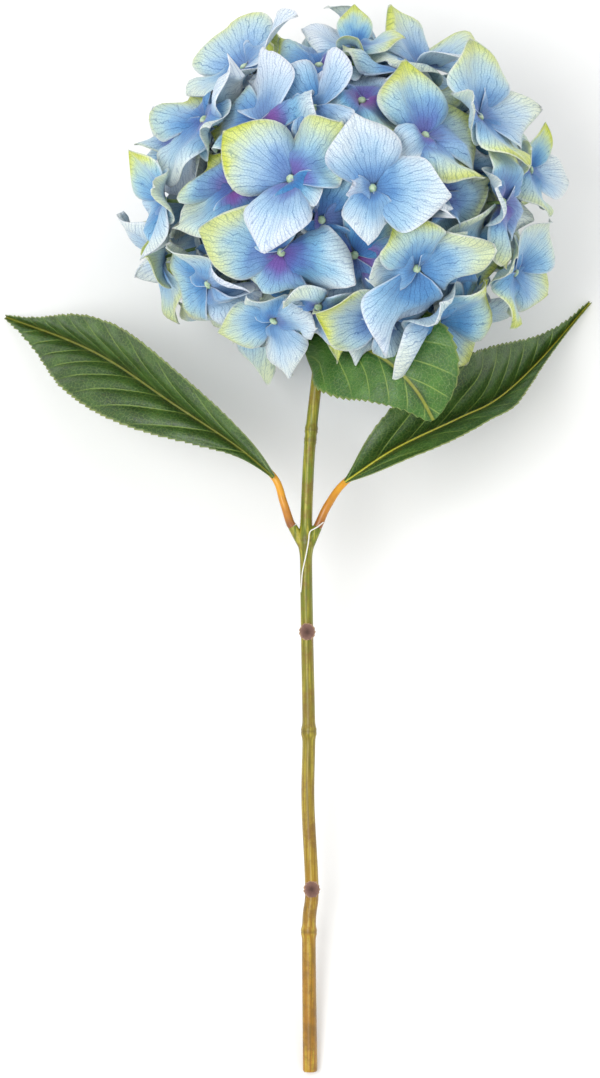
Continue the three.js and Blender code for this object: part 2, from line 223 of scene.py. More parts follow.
# evenly spaced points on a smooth line through the given ones
def smoothLine(points, count):
    points = np.array(points, float)
    padded = np.vstack([2 * points[0] - points[1], points, 2 * points[-1] - points[-2]])
    dense = []
    for i in range(len(points) - 1):
        a, b, c, d = padded[i:i + 4]
        for t in np.linspace(0, 1, 24, endpoint=False):
            dense.append(0.5 * (2 * b + (c - a) * t + (2 * a - 5 * b + 4 * c - d) * t ** 2
                                + (3 * b - a - 3 * c + d) * t ** 3))
    dense.append(points[-1])
    dense = np.array(dense)
    steps = walked(dense)
    at = np.linspace(0, steps[-1], count)
    return np.stack([np.interp(at, steps, dense[:, k]) for k in range(3)], axis=1)


thread = {
    "radius": 0.0003,
    "route": [                # in plant millimetres
        (6.2, 258.4, 2.4), (5.2, 257.6, 3.3), (3.4, 256.2, 4.3), (1.6, 255.2, 4.9), (0.2, 254.3, 5.0),
        (-0.4, 252.6, 4.9), (-0.6, 250.4, 5.0), (-0.9, 248.2, 4.9), (-1.4, 245.6, 4.5), (-2.0, 242.4, 3.9),
        (-2.8, 238.9, 3.6), (-3.5, 235.5, 3.4), (-3.9, 231.7, 3.2), (-4.1, 228.6, 3.1), (-4.4, 225.6, 3.0),
    ],
    "colour": "#f4f3ee",
}


# cotton sewing thread, two plies twisted: matt white with fine slanting ridges and a little fuzz, with
# painted shade greying the grooves between the ridges
def threadMaterial():
    material, tree = newMaterial("cotton_thread_twisted", {"Roughness": 0.85, "Sheen Weight": 0.4})
    place = addNode(tree, "TexCoord")["Object"]
    # ridges 0.7 mm apart
    ply = addNode(tree, "TexWave", {"Vector": place, "Scale": 900.0, "Distortion": 1.0},
                  bands_direction="DIAGONAL")
    # the grey at the low side of each ridge is painted shade in the grooves
    colour = addNode(tree, "ValToRGB", [ply["Fac"]], [(0.0, "#d9d7cf"), (0.6, thread["colour"])])
    return finishMaterial(material, colour["Color"], ply["Fac"], depth=0.0002)


def makeThread():
    points = smoothLine(onPlant(thread["route"]), 60)
    cord = makeCurve("white_thread", points, np.ones(len(points)), 2)
    cord.data.bevel_depth = thread["radius"]
    cord.data.materials.append(threadMaterial())
    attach(cord, "root")
    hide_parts("tie_thread")


petal = {
    "length": 0.037,
    "width": 0.037,
    "thickness": 0.00035,
    "pointed": 1.15,          # below 1 a round tip, above 1 an acute one
    "widest": 0.45,           # how far along the petal is widest
    "along": 14,              # faces of the sheet
    "across": 10,
    "bendSteps": 40,
    "roomOverCad": 1.1,       # how far tips may pass the head's egg
    "softening": 0.1,
    "floorGap": 0.0006,
    "pressedFrom": 0.014,     # height under which petals are pressed flat by the surface
    "start": 0.001,           # out from the hub's middle
    "lap": 0.0004,            # between one petal's foot and the next
    "hubShare": (0.72, 0.82),  # where the hubs of the other florets sit, as a share of the head's radius
    "lean": 0.2,              # how far a floret may tilt
    "upturn": 0.6,            # how far those round the sides turn up to the light
}

button = {"radius": 0.0021, "height": 0.0016, "lift": 0.0016}
pedicel = {
    "radius": 0.00085,
    "intoHub": 0.0008,
    "footPoints": 7,          # points on the node's end face
    "footShare": 0.62,        # a flower stalk starts at this share of the head's radius
}


# a floret's points, its foot on the branch and the direction it points in
def readFloret(node, headMiddle):
    places, triangles = nodePoints(node)
    foot = np.argsort(np.linalg.norm(places - headMiddle, axis=1))[:pedicel["footPoints"]]
    touching = triangles[np.isin(triangles, foot).any(axis=1)].ravel()
    ring = np.setdiff1d(np.unique(touching), foot)
    footMiddle = places[foot].mean(axis=0)
    outward = places[ring].mean(axis=0) - footMiddle
    return {"places": places, "foot": footMiddle, "outward": outward / np.linalg.norm(outward)}


def readFlorets():
    names = sorted(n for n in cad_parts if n.startswith("floret_"))
    everything = np.vstack([nodePoints(n)[0] for n in names])
    middle = (everything.min(axis=0) + everything.max(axis=0)) / 2
    florets = {n: readFloret(n, middle) for n in names}
    # the flower stalks all point away from one place, the middle of the head
    matrix = np.zeros((3, 3))
    side = np.zeros(3)
    for one in florets.values():
        across = np.eye(3) - np.outer(one["outward"], one["outward"])
        matrix += across
        side += across @ one["foot"]
    middle = np.linalg.solve(matrix, side)
    for one in florets.values():
        arm = one["foot"] - middle
        one["outward"] = arm / np.linalg.norm(arm)
        one["first"], one["second"] = sideAxes(one["outward"])
        reach = one["places"] - one["foot"]
        flat = reach @ one["first"] + 1j * (reach @ one["second"])
        one["turn"] = float(np.angle((abs(flat) ** 4 * np.exp(4j * np.angle(flat))).sum())) / 4
        one["radius"] = float(np.linalg.norm(arm)) / pedicel["footShare"]
    return middle, florets


# the direction towards the top of the plant, as seen from outside the head, and the one to its right
def sideAxes(outward):
    pole = -towardsSky if abs(outward @ alongPlant) > 0.97 else alongPlant
    first = pole - outward * (pole @ outward)
    first /= np.linalg.norm(first)
    return first, np.cross(first, outward)


# the head's radii in metres, to the sides, the top, the stem and the sky
headReach = {"side": 0.103, "top": 0.096, "below": 0.084, "depth": 0.095}


# how far the head reaches from its middle in each direction
def egg(directions):
    x = directions[:, 0]
    y = directions @ alongPlant
    z = directions @ towardsSky
    along = np.where(y > 0, headReach["top"], headReach["below"])
    return 1 / np.sqrt((x / headReach["side"]) ** 2 + (y / along) ** 2 + (z / headReach["depth"]) ** 2)


partNumbers = {"button": 4, "stalk": 5}   # after the petals 0 to 3


def markedPart(part, number, places):
    setAttribute(part.data, "mark", "FLOAT_VECTOR", "vector", places)
    setAttribute(part.data, "part", "FLOAT", "value", np.full(len(places), float(number)))
    return part


# one floret laid flat: four thin petals, the button and the flower stalk, each vertex marked with its part
def makeFloretPattern():
    parts = []
    for k in range(4):
        deselectAll()
        bpy.ops.mesh.primitive_grid_add(x_subdivisions=petal["along"], y_subdivisions=petal["across"], size=2)
        sheet = bpy.context.active_object
        solid = sheet.modifiers.new("thickness", "SOLIDIFY")
        solid.thickness = 0.1
        solid.offset = 0
        bpy.ops.object.modifier_apply(modifier="thickness")
        places = readPoints(sheet.data)
        mark = np.column_stack([(places[:, 0] + 1) / 2, places[:, 1], np.sign(places[:, 2])])
        mark[:, :2] = mark[:, :2].clip((0, -1), (1, 1))
        parts.append(markedPart(sheet, k, mark))
    deselectAll()
    bpy.ops.mesh.primitive_uv_sphere_add(segments=12, ring_count=8, radius=1)
    ball = bpy.context.active_object
    parts.append(markedPart(ball, partNumbers["button"], readPoints(ball.data)))
    deselectAll()
    bpy.ops.mesh.primitive_cylinder_add(vertices=8, radius=1, depth=1, end_fill_type="TRIFAN")
    stalk = bpy.context.active_object
    parts.append(markedPart(stalk, partNumbers["stalk"], readPoints(stalk.data)))
    pattern = joinAll(parts, "floret_pattern")
    bpy.ops.object.shade_smooth()
    return pattern


# share of the full width along a petal: broad near the hub, widest a little before the middle, a pointed tip
def petalOutline(u, pointed):
    widest = petal["widest"]
    towardsEnd = np.where(u < widest, 1 - u / widest, (u - widest) / (1 - widest)).clip(0, 1)
    return 0.03 + 0.97 * np.cos(towardsEnd * math.pi / 2).clip(0) ** np.where(u < widest, 0.75, pointed)


# a petal's middle layer at (u along, v across), in metres: x across, y along, z up out of the floret's plane
def petalSurface(u, v, shape):
    half = petalOutline(u, shape["pointed"]) * shape["width"] / 2
    across = half * v
    count = petal["bendSteps"]
    steps = np.linspace(0, 1, count + 1)
    slope = shape["rise"] + shape["bend"] * steps ** 1.3 + shape["tipBend"] * smooth(0.7, 1.0, steps)
    forward, upward = (np.r_[0, np.cumsum((run(slope[1:]) + run(slope[:-1])) / 2)] / count * shape["length"]
                       for run in (np.cos, np.sin))
    here = np.interp(u, steps, slope)
    edge = np.abs(v)
    lift = shape["fold"] * half * (np.sqrt(edge ** 2 + 0.02) - 0.14)
    lift += shape["cup"] * half * edge ** 2 - shape["roll"] * half * smooth(0.6, 1.0, edge) * edge
    ruffle = np.sin(u * shape["waves"] + np.sign(v) * shape["phase"])
    lift += shape["ruffle"] * edge ** 2 * ruffle * shape["width"]
    lift += shape["wave"] * np.sin(u * 5 + shape["phase"]) * shape["width"] * v
    roll = shape["twist"] * u
    side = across * np.cos(roll) - lift * np.sin(roll)
    height = across * np.sin(roll) + lift * np.cos(roll)
    y = np.interp(u, steps, forward) - height * np.sin(here)
    z = np.interp(u, steps, upward) + height * np.cos(here)
    return np.stack([side, y, z], axis=1)


# the florets that face the sky, four petals each: where the petal points (degrees clockwise from the top),
# how far it rises from the floret's plane, its bend, size and breadth, and how lime, violet and pale it is
floretStyles = {
    "floret_01": [(-13, 22, -12, 1.0, 1.0, 0.1, 0.05, 0.75), (97, 20, -10, 0.97, 1.0, 0.1, 0.05, 0.5),
                  (185, 45, -40, 0.85, 0.9, 0.1, 0.1, 0.5), (255, 70, 10, 0.85, 0.65, 0.0, 0.1, 0.9)],
    "floret_02": [(304, 18, -10, 1.08, 1.0, 1.0, 0.25, 0.8), (47, 18, -8, 0.95, 1.1, 0.8, 0.7, 0.3),
                  (194, 30, -45, 1.0, 0.95, 0.0, 0.5, 0.7), (140, 50, -20, 0.85, 0.9, 0.1, 0.1, 0.0)],
    "floret_03": [(290, 14, -5, 1.08, 1.0, 0.8, 0.5, 0.3), (205, 14, -8, 1.0, 1.1, 0.7, 0.9, 0.35),
                  (114, 12, -10, 1.0, 1.0, 0.1, 0.8, 0.0), (345, 20, 0, 0.8, 1.0, 0.5, 0.3, 0.2)],
    "floret_04": [(77, 15, -5, 1.05, 1.1, 0.65, 0.5, 0.5), (138, 12, -8, 1.0, 1.0, 0.7, 0.6, 0.2),
                  (190, 65, 0, 0.9, 0.7, 0.1, 0.1, 0.9), (320, 25, 0, 0.9, 1.0, 0.3, 0.4, 0.5)],
    "floret_05": [(15, 25, 0, 1.0, 1.0, 0.15, 0.9, 0.8), (65, 30, -5, 1.0, 0.95, 0.1, 0.9, 0.7),
                  (134, 35, -10, 0.95, 1.0, 0.9, 0.9, 0.0), (260, 40, 0, 0.9, 1.0, 0.2, 0.8, 0.0)],
    "floret_06": [(88, 15, -5, 1.1, 1.15, 0.85, 0.2, 0.7), (140, 25, 0, 0.85, 1.0, 0.8, 0.2, 0.4),
                  (200, 30, -20, 0.8, 0.8, 0.1, 0.1, 0.9), (330, 15, 0, 1.0, 1.0, 0.6, 0.2, 0.4)],
    "floret_07": [(-5, 20, -8, 1.05, 1.1, 0.95, 0.5, 0.3), (72, 15, 0, 1.1, 1.1, 0.9, 0.3, 0.6),
                  (150, 20, -5, 1.0, 1.1, 0.85, 0.3, 0.4), (225, 45, -20, 0.95, 0.8, 0.1, 0.8, 0.5)],
    "floret_08": [(10, 25, 0, 1.05, 1.0, 0.9, 0.3, 0.2), (100, 10, 0, 1.0, 1.0, 0.3, 0.5, 0.8),
                  (165, 20, -5, 1.0, 1.0, 0.8, 0.8, 0.3), (280, 35, -10, 0.85, 0.9, 0.2, 0.6, 0.3)],
    "floret_09": [(90, 15, 0, 1.05, 1.1, 0.9, 0.1, 0.2), (180, 20, -5, 1.0, 1.0, 0.3, 0.1, 0.4),
                  (270, 30, 0, 0.9, 1.0, 0.8, 0.2, 0.2), (0, 30, 0, 0.95, 1.0, 0.5, 0.1, 0.3)],
    "floret_10": [(112, 20, -5, 1.0, 1.0, 0.5, 1.0, 0.2), (192, 15, -10, 1.05, 1.15, 0.05, 0.2, 0.35),
                  (35, 15, 0, 0.95, 1.0, 0.95, 0.1, 0.0), (285, 20, 0, 0.8, 0.9, 0.1, 0.9, 0.0)],
    "floret_11": [(188, 15, -15, 1.1, 1.15, 0.0, 0.0, 0.35), (330, 25, 0, 0.95, 1.0, 0.95, 0.0, 0.2),
                  (60, 20, 0, 1.0, 1.0, 0.6, 0.0, 0.4), (270, 30, -10, 0.9, 0.9, 0.3, 0.0, 0.5)],
    "floret_12": [(268, 20, -5, 0.92, 1.1, 1.0, 0.4, 0.6), (55, 25, 0, 0.80, 1.0, 0.0, 0.3, 0.3),
                  (122, 15, -5, 0.92, 1.1, 0.6, 0.6, 0.9), (190, 10, -10, 0.76, 1.0, 0.2, 0.6, 0.5)],
    "floret_13": [(220, 15, -10, 0.86, 1.0, 0.05, 0.1, 0.8), (172, 20, -5, 0.90, 1.15, 0.9, 0.9, 0.8),
                  (100, 15, 0, 0.82, 1.0, 0.0, 0.0, 0.3), (330, 30, 0, 0.74, 1.0, 0.4, 0.3, 0.3)],
    "floret_14": [(275, 15, 0, 0.88, 1.1, 1.0, 0.0, 0.2), (178, 20, -8, 0.92, 1.15, 0.1, 0.0, 0.8),
                  (110, 20, -10, 0.84, 1.0, 0.0, 0.0, 0.9), (0, 30, 0, 0.76, 1.0, 0.4, 0.0, 0.4)],
    "floret_15": [(310, 20, 0, 1.05, 1.1, 1.0, 0.6, 0.3), (240, 20, -5, 1.0, 1.0, 0.4, 0.5, 0.2),
                  (150, 25, -5, 0.9, 1.0, 0.3, 1.0, 0.0), (40, 30, 0, 0.9, 1.0, 0.3, 0.8, 0.4)],
    "floret_16": [(270, 12, -5, 1.15, 1.0, 1.0, 0.2, 0.3), (345, 25, -10, 1.05, 0.95, 0.05, 0.1, 1.0),
                  (200, 35, -20, 0.8, 0.9, 0.0, 0.3, 0.5), (95, 20, 0, 0.95, 1.0, 0.1, 0.9, 0.1)],
    "floret_17": [(300, 20, -8, 1.1, 1.15, 0.0, 0.0, 0.35), (0, 45, -25, 1.05, 0.85, 0.0, 0.0, 0.9),
                  (235, 20, -5, 0.95, 1.0, 0.0, 0.1, 0.1), (165, 30, -10, 1.0, 0.95, 0.0, 0.1, 0.8)],
    "floret_18": [(310, 20, 0, 1.0, 1.0, 0.95, 0.1, 0.2), (265, 15, 0, 1.1, 1.0, 0.1, 0.1, 0.6),
                  (60, 35, 0, 0.9, 0.9, 0.2, 0.6, 0.1), (160, 30, 0, 0.8, 0.9, 0.2, 0.2, 0.2)],
    "floret_19": [(290, 15, 0, 1.03, 1.1, 0.9, 0.1, 0.8), (25, 20, 0, 1.03, 1.0, 0.1, 0.1, 0.9),
                  (200, 20, 0, 0.85, 1.0, 0.3, 0.1, 0.4), (110, 25, 0, 0.85, 1.0, 0.2, 0.2, 0.5)],
    "floret_20": [(335, 25, 0, 0.84, 1.0, 1.0, 0.1, 0.2), (255, 20, -5, 0.84, 1.1, 0.0, 0.0, 0.2),
                  (175, 25, 0, 0.80, 1.0, 0.2, 0.1, 0.6), (80, 35, 0, 0.72, 1.0, 0.5, 0.2, 0.3)],
    "floret_21": [(0, 25, 0, 0.82, 1.0, 0.2, 0.0, 0.9), (90, 25, 0, 0.82, 1.0, 0.9, 0.1, 0.3),
                  (180, 20, 0, 0.82, 1.0, 0.7, 0.0, 0.5), (270, 20, 0, 0.82, 1.0, 0.2, 0.0, 0.9)],
    "floret_22": [(0, 30, 0, 0.62, 0.8, 0.95, 0.2, 0.1), (290, 15, 0, 0.68, 1.0, 0.1, 0.1, 1.0),
                  (90, 20, 0, 0.62, 1.0, 0.8, 0.2, 0.6), (180, 45, 0, 0.56, 0.9, 0.9, 0.2, 0.0)],
    "floret_23": [(5, 15, 0, 1.05, 1.0, 0.8, 0.1, 0.6), (90, 20, 0, 1.0, 1.0, 0.4, 0.1, 0.9),
                  (180, 30, 0, 0.95, 1.0, 0.9, 0.1, 0.4), (270, 30, 0, 0.9, 1.0, 0.4, 0.4, 0.3)],
    "floret_24": [(20, 35, 0, 0.68, 0.7, 1.0, 0.1, 0.1), (110, 15, 0, 0.71, 1.0, 0.2, 0.1, 0.9),
                  (200, 25, 0, 0.68, 1.0, 0.6, 0.1, 0.4), (290, 30, 0, 0.62, 1.0, 0.7, 0.4, 0.2)],
    "floret_25": [(10, 20, 0, 0.82, 1.0, 0.4, 0.1, 0.3), (100, 15, 0, 0.82, 1.0, 0.8, 0.0, 0.6),
                  (190, 25, 0, 0.82, 1.0, 0.9, 0.0, 0.2), (280, 25, 0, 0.82, 1.0, 0.5, 0.1, 0.1)],
    "floret_26": [(30, 20, 0, 1.0, 1.0, 1.0, 0.0, 0.1), (115, 20, 0, 1.0, 1.0, 0.9, 0.0, 0.4),
                  (205, 20, -10, 1.0, 1.0, 0.3, 0.1, 0.8), (300, 25, 0, 1.0, 1.0, 0.2, 0.0, 0.1)],
    "floret_27": [(300, 15, 0, 1.05, 1.1, 0.9, 0.1, 0.4), (30, 25, 0, 1.0, 1.0, 0.1, 0.1, 0.8),
                  (200, 20, 0, 1.0, 1.0, 0.2, 0.3, 0.4), (110, 30, 0, 0.9, 1.0, 0.3, 0.6, 0.2)],
    "floret_28": [(280, 20, 0, 0.70, 1.0, 0.7, 0.0, 0.4), (190, 15, -5, 0.73, 1.0, 0.2, 0.0, 0.8),
                  (100, 20, 0, 0.70, 1.0, 0.1, 0.2, 0.5), (10, 30, 0, 0.63, 1.0, 0.3, 0.1, 0.2)],
}
styleKeys = ("turn", "rise", "bend", "size", "broad", "lime", "violet", "pale")


# each trait has a middle and a random spread
def petalShape(style, spread):
    rise, bend, size = style["rise"], style["bend"], style["size"]
    return {
        "length": petal["length"] * size * (1 + spread[0] * 0.06),
        "width": petal["width"] * size * style["broad"] * (1 + spread[1] * 0.08),
        "pointed": petal["pointed"] + 0.2 * spread[2],
        "rise": math.radians(rise + 5 * spread[4]),
        "bend": math.radians(bend + 8 * spread[5]),
        "tipBend": math.radians(-12 + 30 * spread[6]),
        "fold": 0.3 + 0.14 * spread[7],
        "cup": 0.12 + 0.14 * spread[8],
        "roll": 0.35 + 0.25 * spread[9],
        "ruffle": 0.06 + 0.035 * spread[10],
        "waves": 9 + 3 * spread[11],
        "phase": 3.1 * spread[12],
        "wave": 0.02 * spread[13],
        "twist": math.radians(12 * spread[14]),
    }


# most of the hidden florets' petals lie open, and some stand up
def randomStyle(turn):
    rise = draw.uniform(12, 32) if draw.random() < 0.65 else draw.uniform(34, 62)
    return (turn + draw.uniform(-8, 8), rise, draw.uniform(-30, 12), draw.uniform(0.88, 1.06),
            draw.uniform(0.85, 1.1), draw.random() ** 1.3, draw.uniform(0.0, 0.9) ** 1.5,
            draw.uniform(0.1, 1.0))


def makeFloret(name, pattern, one):
    mesh = pattern.data.copy()
    mesh.name = name
    floret = addObject(name, mesh)
    part = patternMarks["part"]
    mark = patternMarks["mark"]
    places = np.zeros((len(part), 3))
    tint = np.zeros((len(part), 4))
    for k, sheet in enumerate(one["petals"]):
        mine = part == k
        places[mine] = petalPlaces(mark[mine], sheet)
        style = sheet["style"]
        tint[mine] = (style["lime"], style["violet"], style["pale"], sheet["chance"])
    ball = part == partNumbers["button"]
    flat = mark[ball]
    places[ball] = one["hub"] + (flat[:, :1] * one["first"] + flat[:, 1:2] * one["second"]) * button["radius"]
    places[ball] += (flat[:, 2:] * button["height"] + button["lift"]) * one["tilted"]
    rod = part == partNumbers["stalk"]
    flat = mark[rod]
    end = one["hub"] + one["outward"] * pedicel["intoHub"]
    places[rod] = one["foot"] + (end - one["foot"]) * (flat[:, 2:] + 0.5)
    places[rod] += (flat[:, :1] * one["first"] + flat[:, 1:2] * one["second"]) * pedicel["radius"]
    places[:, 2] = aboveSurface(places[:, 2])
    writePoints(mesh, places)
    setAttribute(mesh, "tint", "FLOAT_COLOR", "color", tint)
    for material in petalMaterials:
        mesh.materials.append(material)
    mesh.polygons.foreach_set("material_index", patternMarks["slots"])
    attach(floret, "root")
    return floret


# a petal's middle layer in the row frame, bent inside the head's egg and pushed under its neighbours
def petalMiddle(u, v, sheet):
    local = petalSurface(u, v, sheet["shape"])
    places = sheet["base"] + local[:, :1] * sheet["sideways"]
    places = places + (local[:, 1:2] + petal["start"]) * sheet["forward"]
    places = keptInHead(places + local[:, 2:] * sheet["out"], sheet["middle"])
    offset = places - sheet["middle"]
    length = np.linalg.norm(offset, axis=1)
    return sheet["middle"] + offset * (1 - pushAt(u, v, sheet["push"]) / length)[:, None]


def petalPlaces(mark, sheet):
    u, v, layer = mark.T
    step = 2e-3
    uIn = np.where(u > 0.5, u - step, u)
    vIn = np.where(v > 0, v - step, v)
    du = petalMiddle(uIn + step, v, sheet) - petalMiddle(uIn, v, sheet)
    dv = petalMiddle(u, vIn + step, sheet) - petalMiddle(u, vIn, sheet)
    normal = np.cross(dv, du)
    normal /= np.linalg.norm(normal, axis=1)[:, None] + 1e-12
    return petalMiddle(u, v, sheet) + normal * (layer * petal["thickness"] / 2)[:, None]


# the push at any place of a petal, between the points of its even grid
def pushAt(u, v, push):
    rows, columns = push.shape
    x = u.clip(0, 1) * (rows - 1)
    y = (v.clip(-1, 1) + 1) / 2 * (columns - 1)
    i = np.minimum(x.astype(int), rows - 2)
    j = np.minimum(y.astype(int), columns - 2)
    a, b = x - i, y - j
    low = push[i, j] * (1 - b) + push[i, j + 1] * b
    high = push[i + 1, j] * (1 - b) + push[i + 1, j + 1] * b
    return low * (1 - a) + high * a


# tips bend over where they would leave the head's egg
def keptInHead(places, middle):
    offset = places - middle
    length = np.linalg.norm(offset, axis=1)
    limit = egg(offset / length[:, None])
    soft = petal["softening"]
    start = petal["roomOverCad"] - soft
    over = length / limit - start
    eased = np.where(over > 0, soft * (1 - np.exp(-over / soft)), over)
    return middle + offset / length[:, None] * ((start + eased) * limit)[:, None]


# petals lie flat where the surface presses them
def aboveSurface(height):
    low = petal["pressedFrom"]
    room = low - petal["floorGap"]
    pressed = petal["floorGap"] + room * np.exp((np.minimum(height, low) - low) / room)
    return np.where(height < low, pressed, height)


# the lowest, the highest or the mean value of the cells round each cell
def aroundEach(field, reach, take):
    padded = np.pad(field, reach, mode="edge")
    rows, columns = field.shape
    layers = [padded[i:i + rows, j:j + columns] for i in range(2 * reach + 1) for j in range(2 * reach + 1)]
    return take(layers, axis=0)


layering = {
    "rows": 29, "columns": 23,   # even grid on each petal
    "gap": 0.0009,               # kept between petals that lie on each other
    "limit": 0.028,              # a petal is pushed in by at most this
    "cell": 0.002,               # metres across a cell at the reach
    "reach": 0.09,
    "nearest": 0.01,
    "half": 34,                  # cells to each side of the petal's middle
    "sample": 300,               # the grid point that stands for a whole petal
    "facing": 0.6,               # only petals turned within this cosine of each other can meet
    "grown": 0.22,               # up to this share of their length a floret's petals are grown together
    "hub": 0.03,                 # and up to this share a petal is too close to its hub to push others
}


# from the outermost floret inwards, each petal is pushed in until it passes under those laid before it
def layPetals(florets, middle):
    u, v = np.meshgrid(np.linspace(0, 1, layering["rows"]), np.linspace(-1, 1, layering["columns"]),
                       indexing="ij")
    flatU, flatV = u.ravel(), v.ravel()
    laid = []
    half, reach, cell = layering["half"], layering["reach"], layering["cell"]
    for one in sorted(florets.values(), key=lambda one: -one["hubShare"]):
        own = len(laid)
        for sheet in one["petals"]:
            places = petalMiddle(flatU, flatV, sheet)
            offset = places - middle
            radius = np.linalg.norm(offset, axis=1)
            out = offset.mean(axis=0)
            out /= np.linalg.norm(out)
            first, second = sideAxes(out)

            def cells(offset):
                depth = offset @ out
                x = np.rint(offset @ first / depth * reach / cell).astype(int) + half
                y = np.rint(offset @ second / depth * reach / cell).astype(int) + half
                inside = (x >= 0) & (y >= 0) & (x <= 2 * half) & (y <= 2 * half)
                return x, y, inside & (depth > layering["nearest"])

            ceiling = np.full((2 * half + 1, 2 * half + 1), np.inf)
            for i, (other, otherRadius) in enumerate(laid):
                sample = other[layering["sample"]]
                if sample @ out > layering["facing"] * np.linalg.norm(sample):
                    x, y, inside = cells(other)
                    inside &= flatU > layering["grown" if i >= own else "hub"]
                    np.minimum.at(ceiling, (x[inside], y[inside]), otherRadius[inside])
            ceiling = aroundEach(ceiling, 1, np.min)
            x, y, inside = cells(offset)
            room = ceiling[x.clip(0, 2 * half), y.clip(0, 2 * half)]
            over = np.where(inside, radius - room + layering["gap"], 0)
            push = over.clip(0, layering["limit"]).reshape(u.shape)
            push = aroundEach(aroundEach(aroundEach(push, 2, np.max), 2, np.mean), 2, np.mean)
            sheet["push"] = push * smooth(0.05, 0.4, u)
            places = petalMiddle(flatU, flatV, sheet) - middle
            laid.append((places, np.linalg.norm(places, axis=1)))


def makePetals(one, styles, middle):
    one["petals"] = []
    for k, style in enumerate(styles):
        style = dict(zip(styleKeys, style))
        turn = math.radians(style["turn"])
        forward = one["first"] * math.cos(turn) + one["second"] * math.sin(turn)
        out = one["tilted"]
        forward = unit(forward - out * (forward @ out))
        one["petals"].append({
            "style": style, "shape": petalShape(style, draw.uniform(-1, 1, 15)), "chance": draw.random(),
            "base": one["hub"] + out * petal["lap"] * k, "out": out, "forward": forward,
            "sideways": np.cross(forward, out), "middle": middle, "push": np.zeros((2, 2)),
        })


fillers = {
    "count": 44,
    "directions": 900,        # looked through for the widest gaps
    "bareCone": 36,           # degrees round the stem that stay bare
    "footShare": 0.34,
    "hubShare": (0.6, 0.7),
}


# smaller, deeper florets in the widest gaps between the others, so that no gap shows through the head
def addFillers(florets, middle):
    candidates = []
    for i in range(fillers["directions"]):
        height = 1 - (2 * i + 1) / fillers["directions"]
        candidates.append(spiralDirection(i, height))
    candidates = np.array(candidates)
    candidates = candidates[candidates @ -alongPlant < math.cos(math.radians(fillers["bareCone"]))]
    taken = [one["outward"] for one in florets.values()]
    for i in range(fillers["count"]):
        outward = candidates[(candidates @ np.array(taken).T).max(axis=1).argmin()]
        taken.append(outward)
        radius = float(egg(outward[None])[0])
        first, second = sideAxes(outward)
        florets[f"filler_{i + 1:02d}"] = {
            "outward": outward, "first": first, "second": second, "radius": radius,
            "turn": draw.uniform(0, 1.57), "foot": middle + outward * radius * fillers["footShare"],
        }


# how far out the hubs of the sky florets sit, as a share of the head's radius: the outermost lie on top
hubShares = {1: 0.80, 2: 0.80, 3: 0.75, 4: 0.74, 5: 0.73, 6: 0.78, 7: 0.785, 8: 0.81, 9: 0.77, 10: 0.70,
             11: 0.79, 12: 0.78, 13: 0.775, 14: 0.81, 15: 0.745, 16: 0.79, 17: 0.787, 18: 0.77, 19: 0.82,
             20: 0.84, 21: 0.86, 22: 0.8, 23: 0.82, 24: 0.87, 25: 0.87, 26: 0.85, 27: 0.82, 28: 0.83}


def placeFlorets():
    middle, florets = readFlorets()
    pattern = makeFloretPattern()
    mesh = pattern.data
    count = len(mesh.vertices)
    mark = np.zeros(count * 3)
    part = np.zeros(count)
    mesh.attributes["mark"].data.foreach_get("vector", mark)
    mesh.attributes["part"].data.foreach_get("value", part)
    mark = mark.reshape(-1, 3)
    patternMarks["mark"] = mark
    patternMarks["part"] = part
    slots = []
    for polygon in mesh.polygons:
        kind = int(part[polygon.vertices[0]])
        back = mark[list(polygon.vertices), 2].mean() < -0.5
        slots.append({partNumbers["button"]: 2, partNumbers["stalk"]: 3}.get(kind, 1 if back else 0))
    patternMarks["slots"] = np.array(slots, dtype=np.int32)
    # the petal map's units are petal lengths
    uvLayer = mesh.uv_layers.active or mesh.uv_layers.new(name="petalMap")
    uvLayer.name = "petalMap"
    width = petalOutline(mark[:, 0], petal["pointed"]) * 0.5 * petal["width"] / petal["length"]
    flat = np.column_stack([0.5 + width * mark[:, 1] * (part < partNumbers["button"]), mark[:, 0]])
    uvLayer.data.foreach_set("uv", flat[readCorners(mesh)].ravel())
    addFillers(florets, middle)
    for name, one in florets.items():
        lean = draw.uniform(-petal["lean"], petal["lean"], 2)
        level = 1 - abs(one["outward"] @ towardsSky)
        upwards = petal["upturn"] * level ** 2 * towardsSky
        one["tilted"] = unit(one["outward"] + upwards + lean[0] * one["first"] + lean[1] * one["second"])
        one["hubShare"] = hubShares.get(int(name[-2:]), draw.uniform(*petal["hubShare"]))
        if name.startswith("filler"):
            one["hubShare"] = draw.uniform(*fillers["hubShare"])
        one["hub"] = middle + one["outward"] * one["radius"] * one["hubShare"]
        styles = floretStyles.get(name) or [randomStyle(math.degrees(one["turn"]) + 90 * k) for k in range(4)]
        makePetals(one, styles, middle)
    layPetals(florets, middle)
    for name, one in florets.items():
        floret = makeFloret("petals_" + name, pattern, one)
        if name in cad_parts:
            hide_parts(name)
    bpy.data.objects.remove(pattern)
    return middle, florets


patternMarks = {}
petalMaterials = []

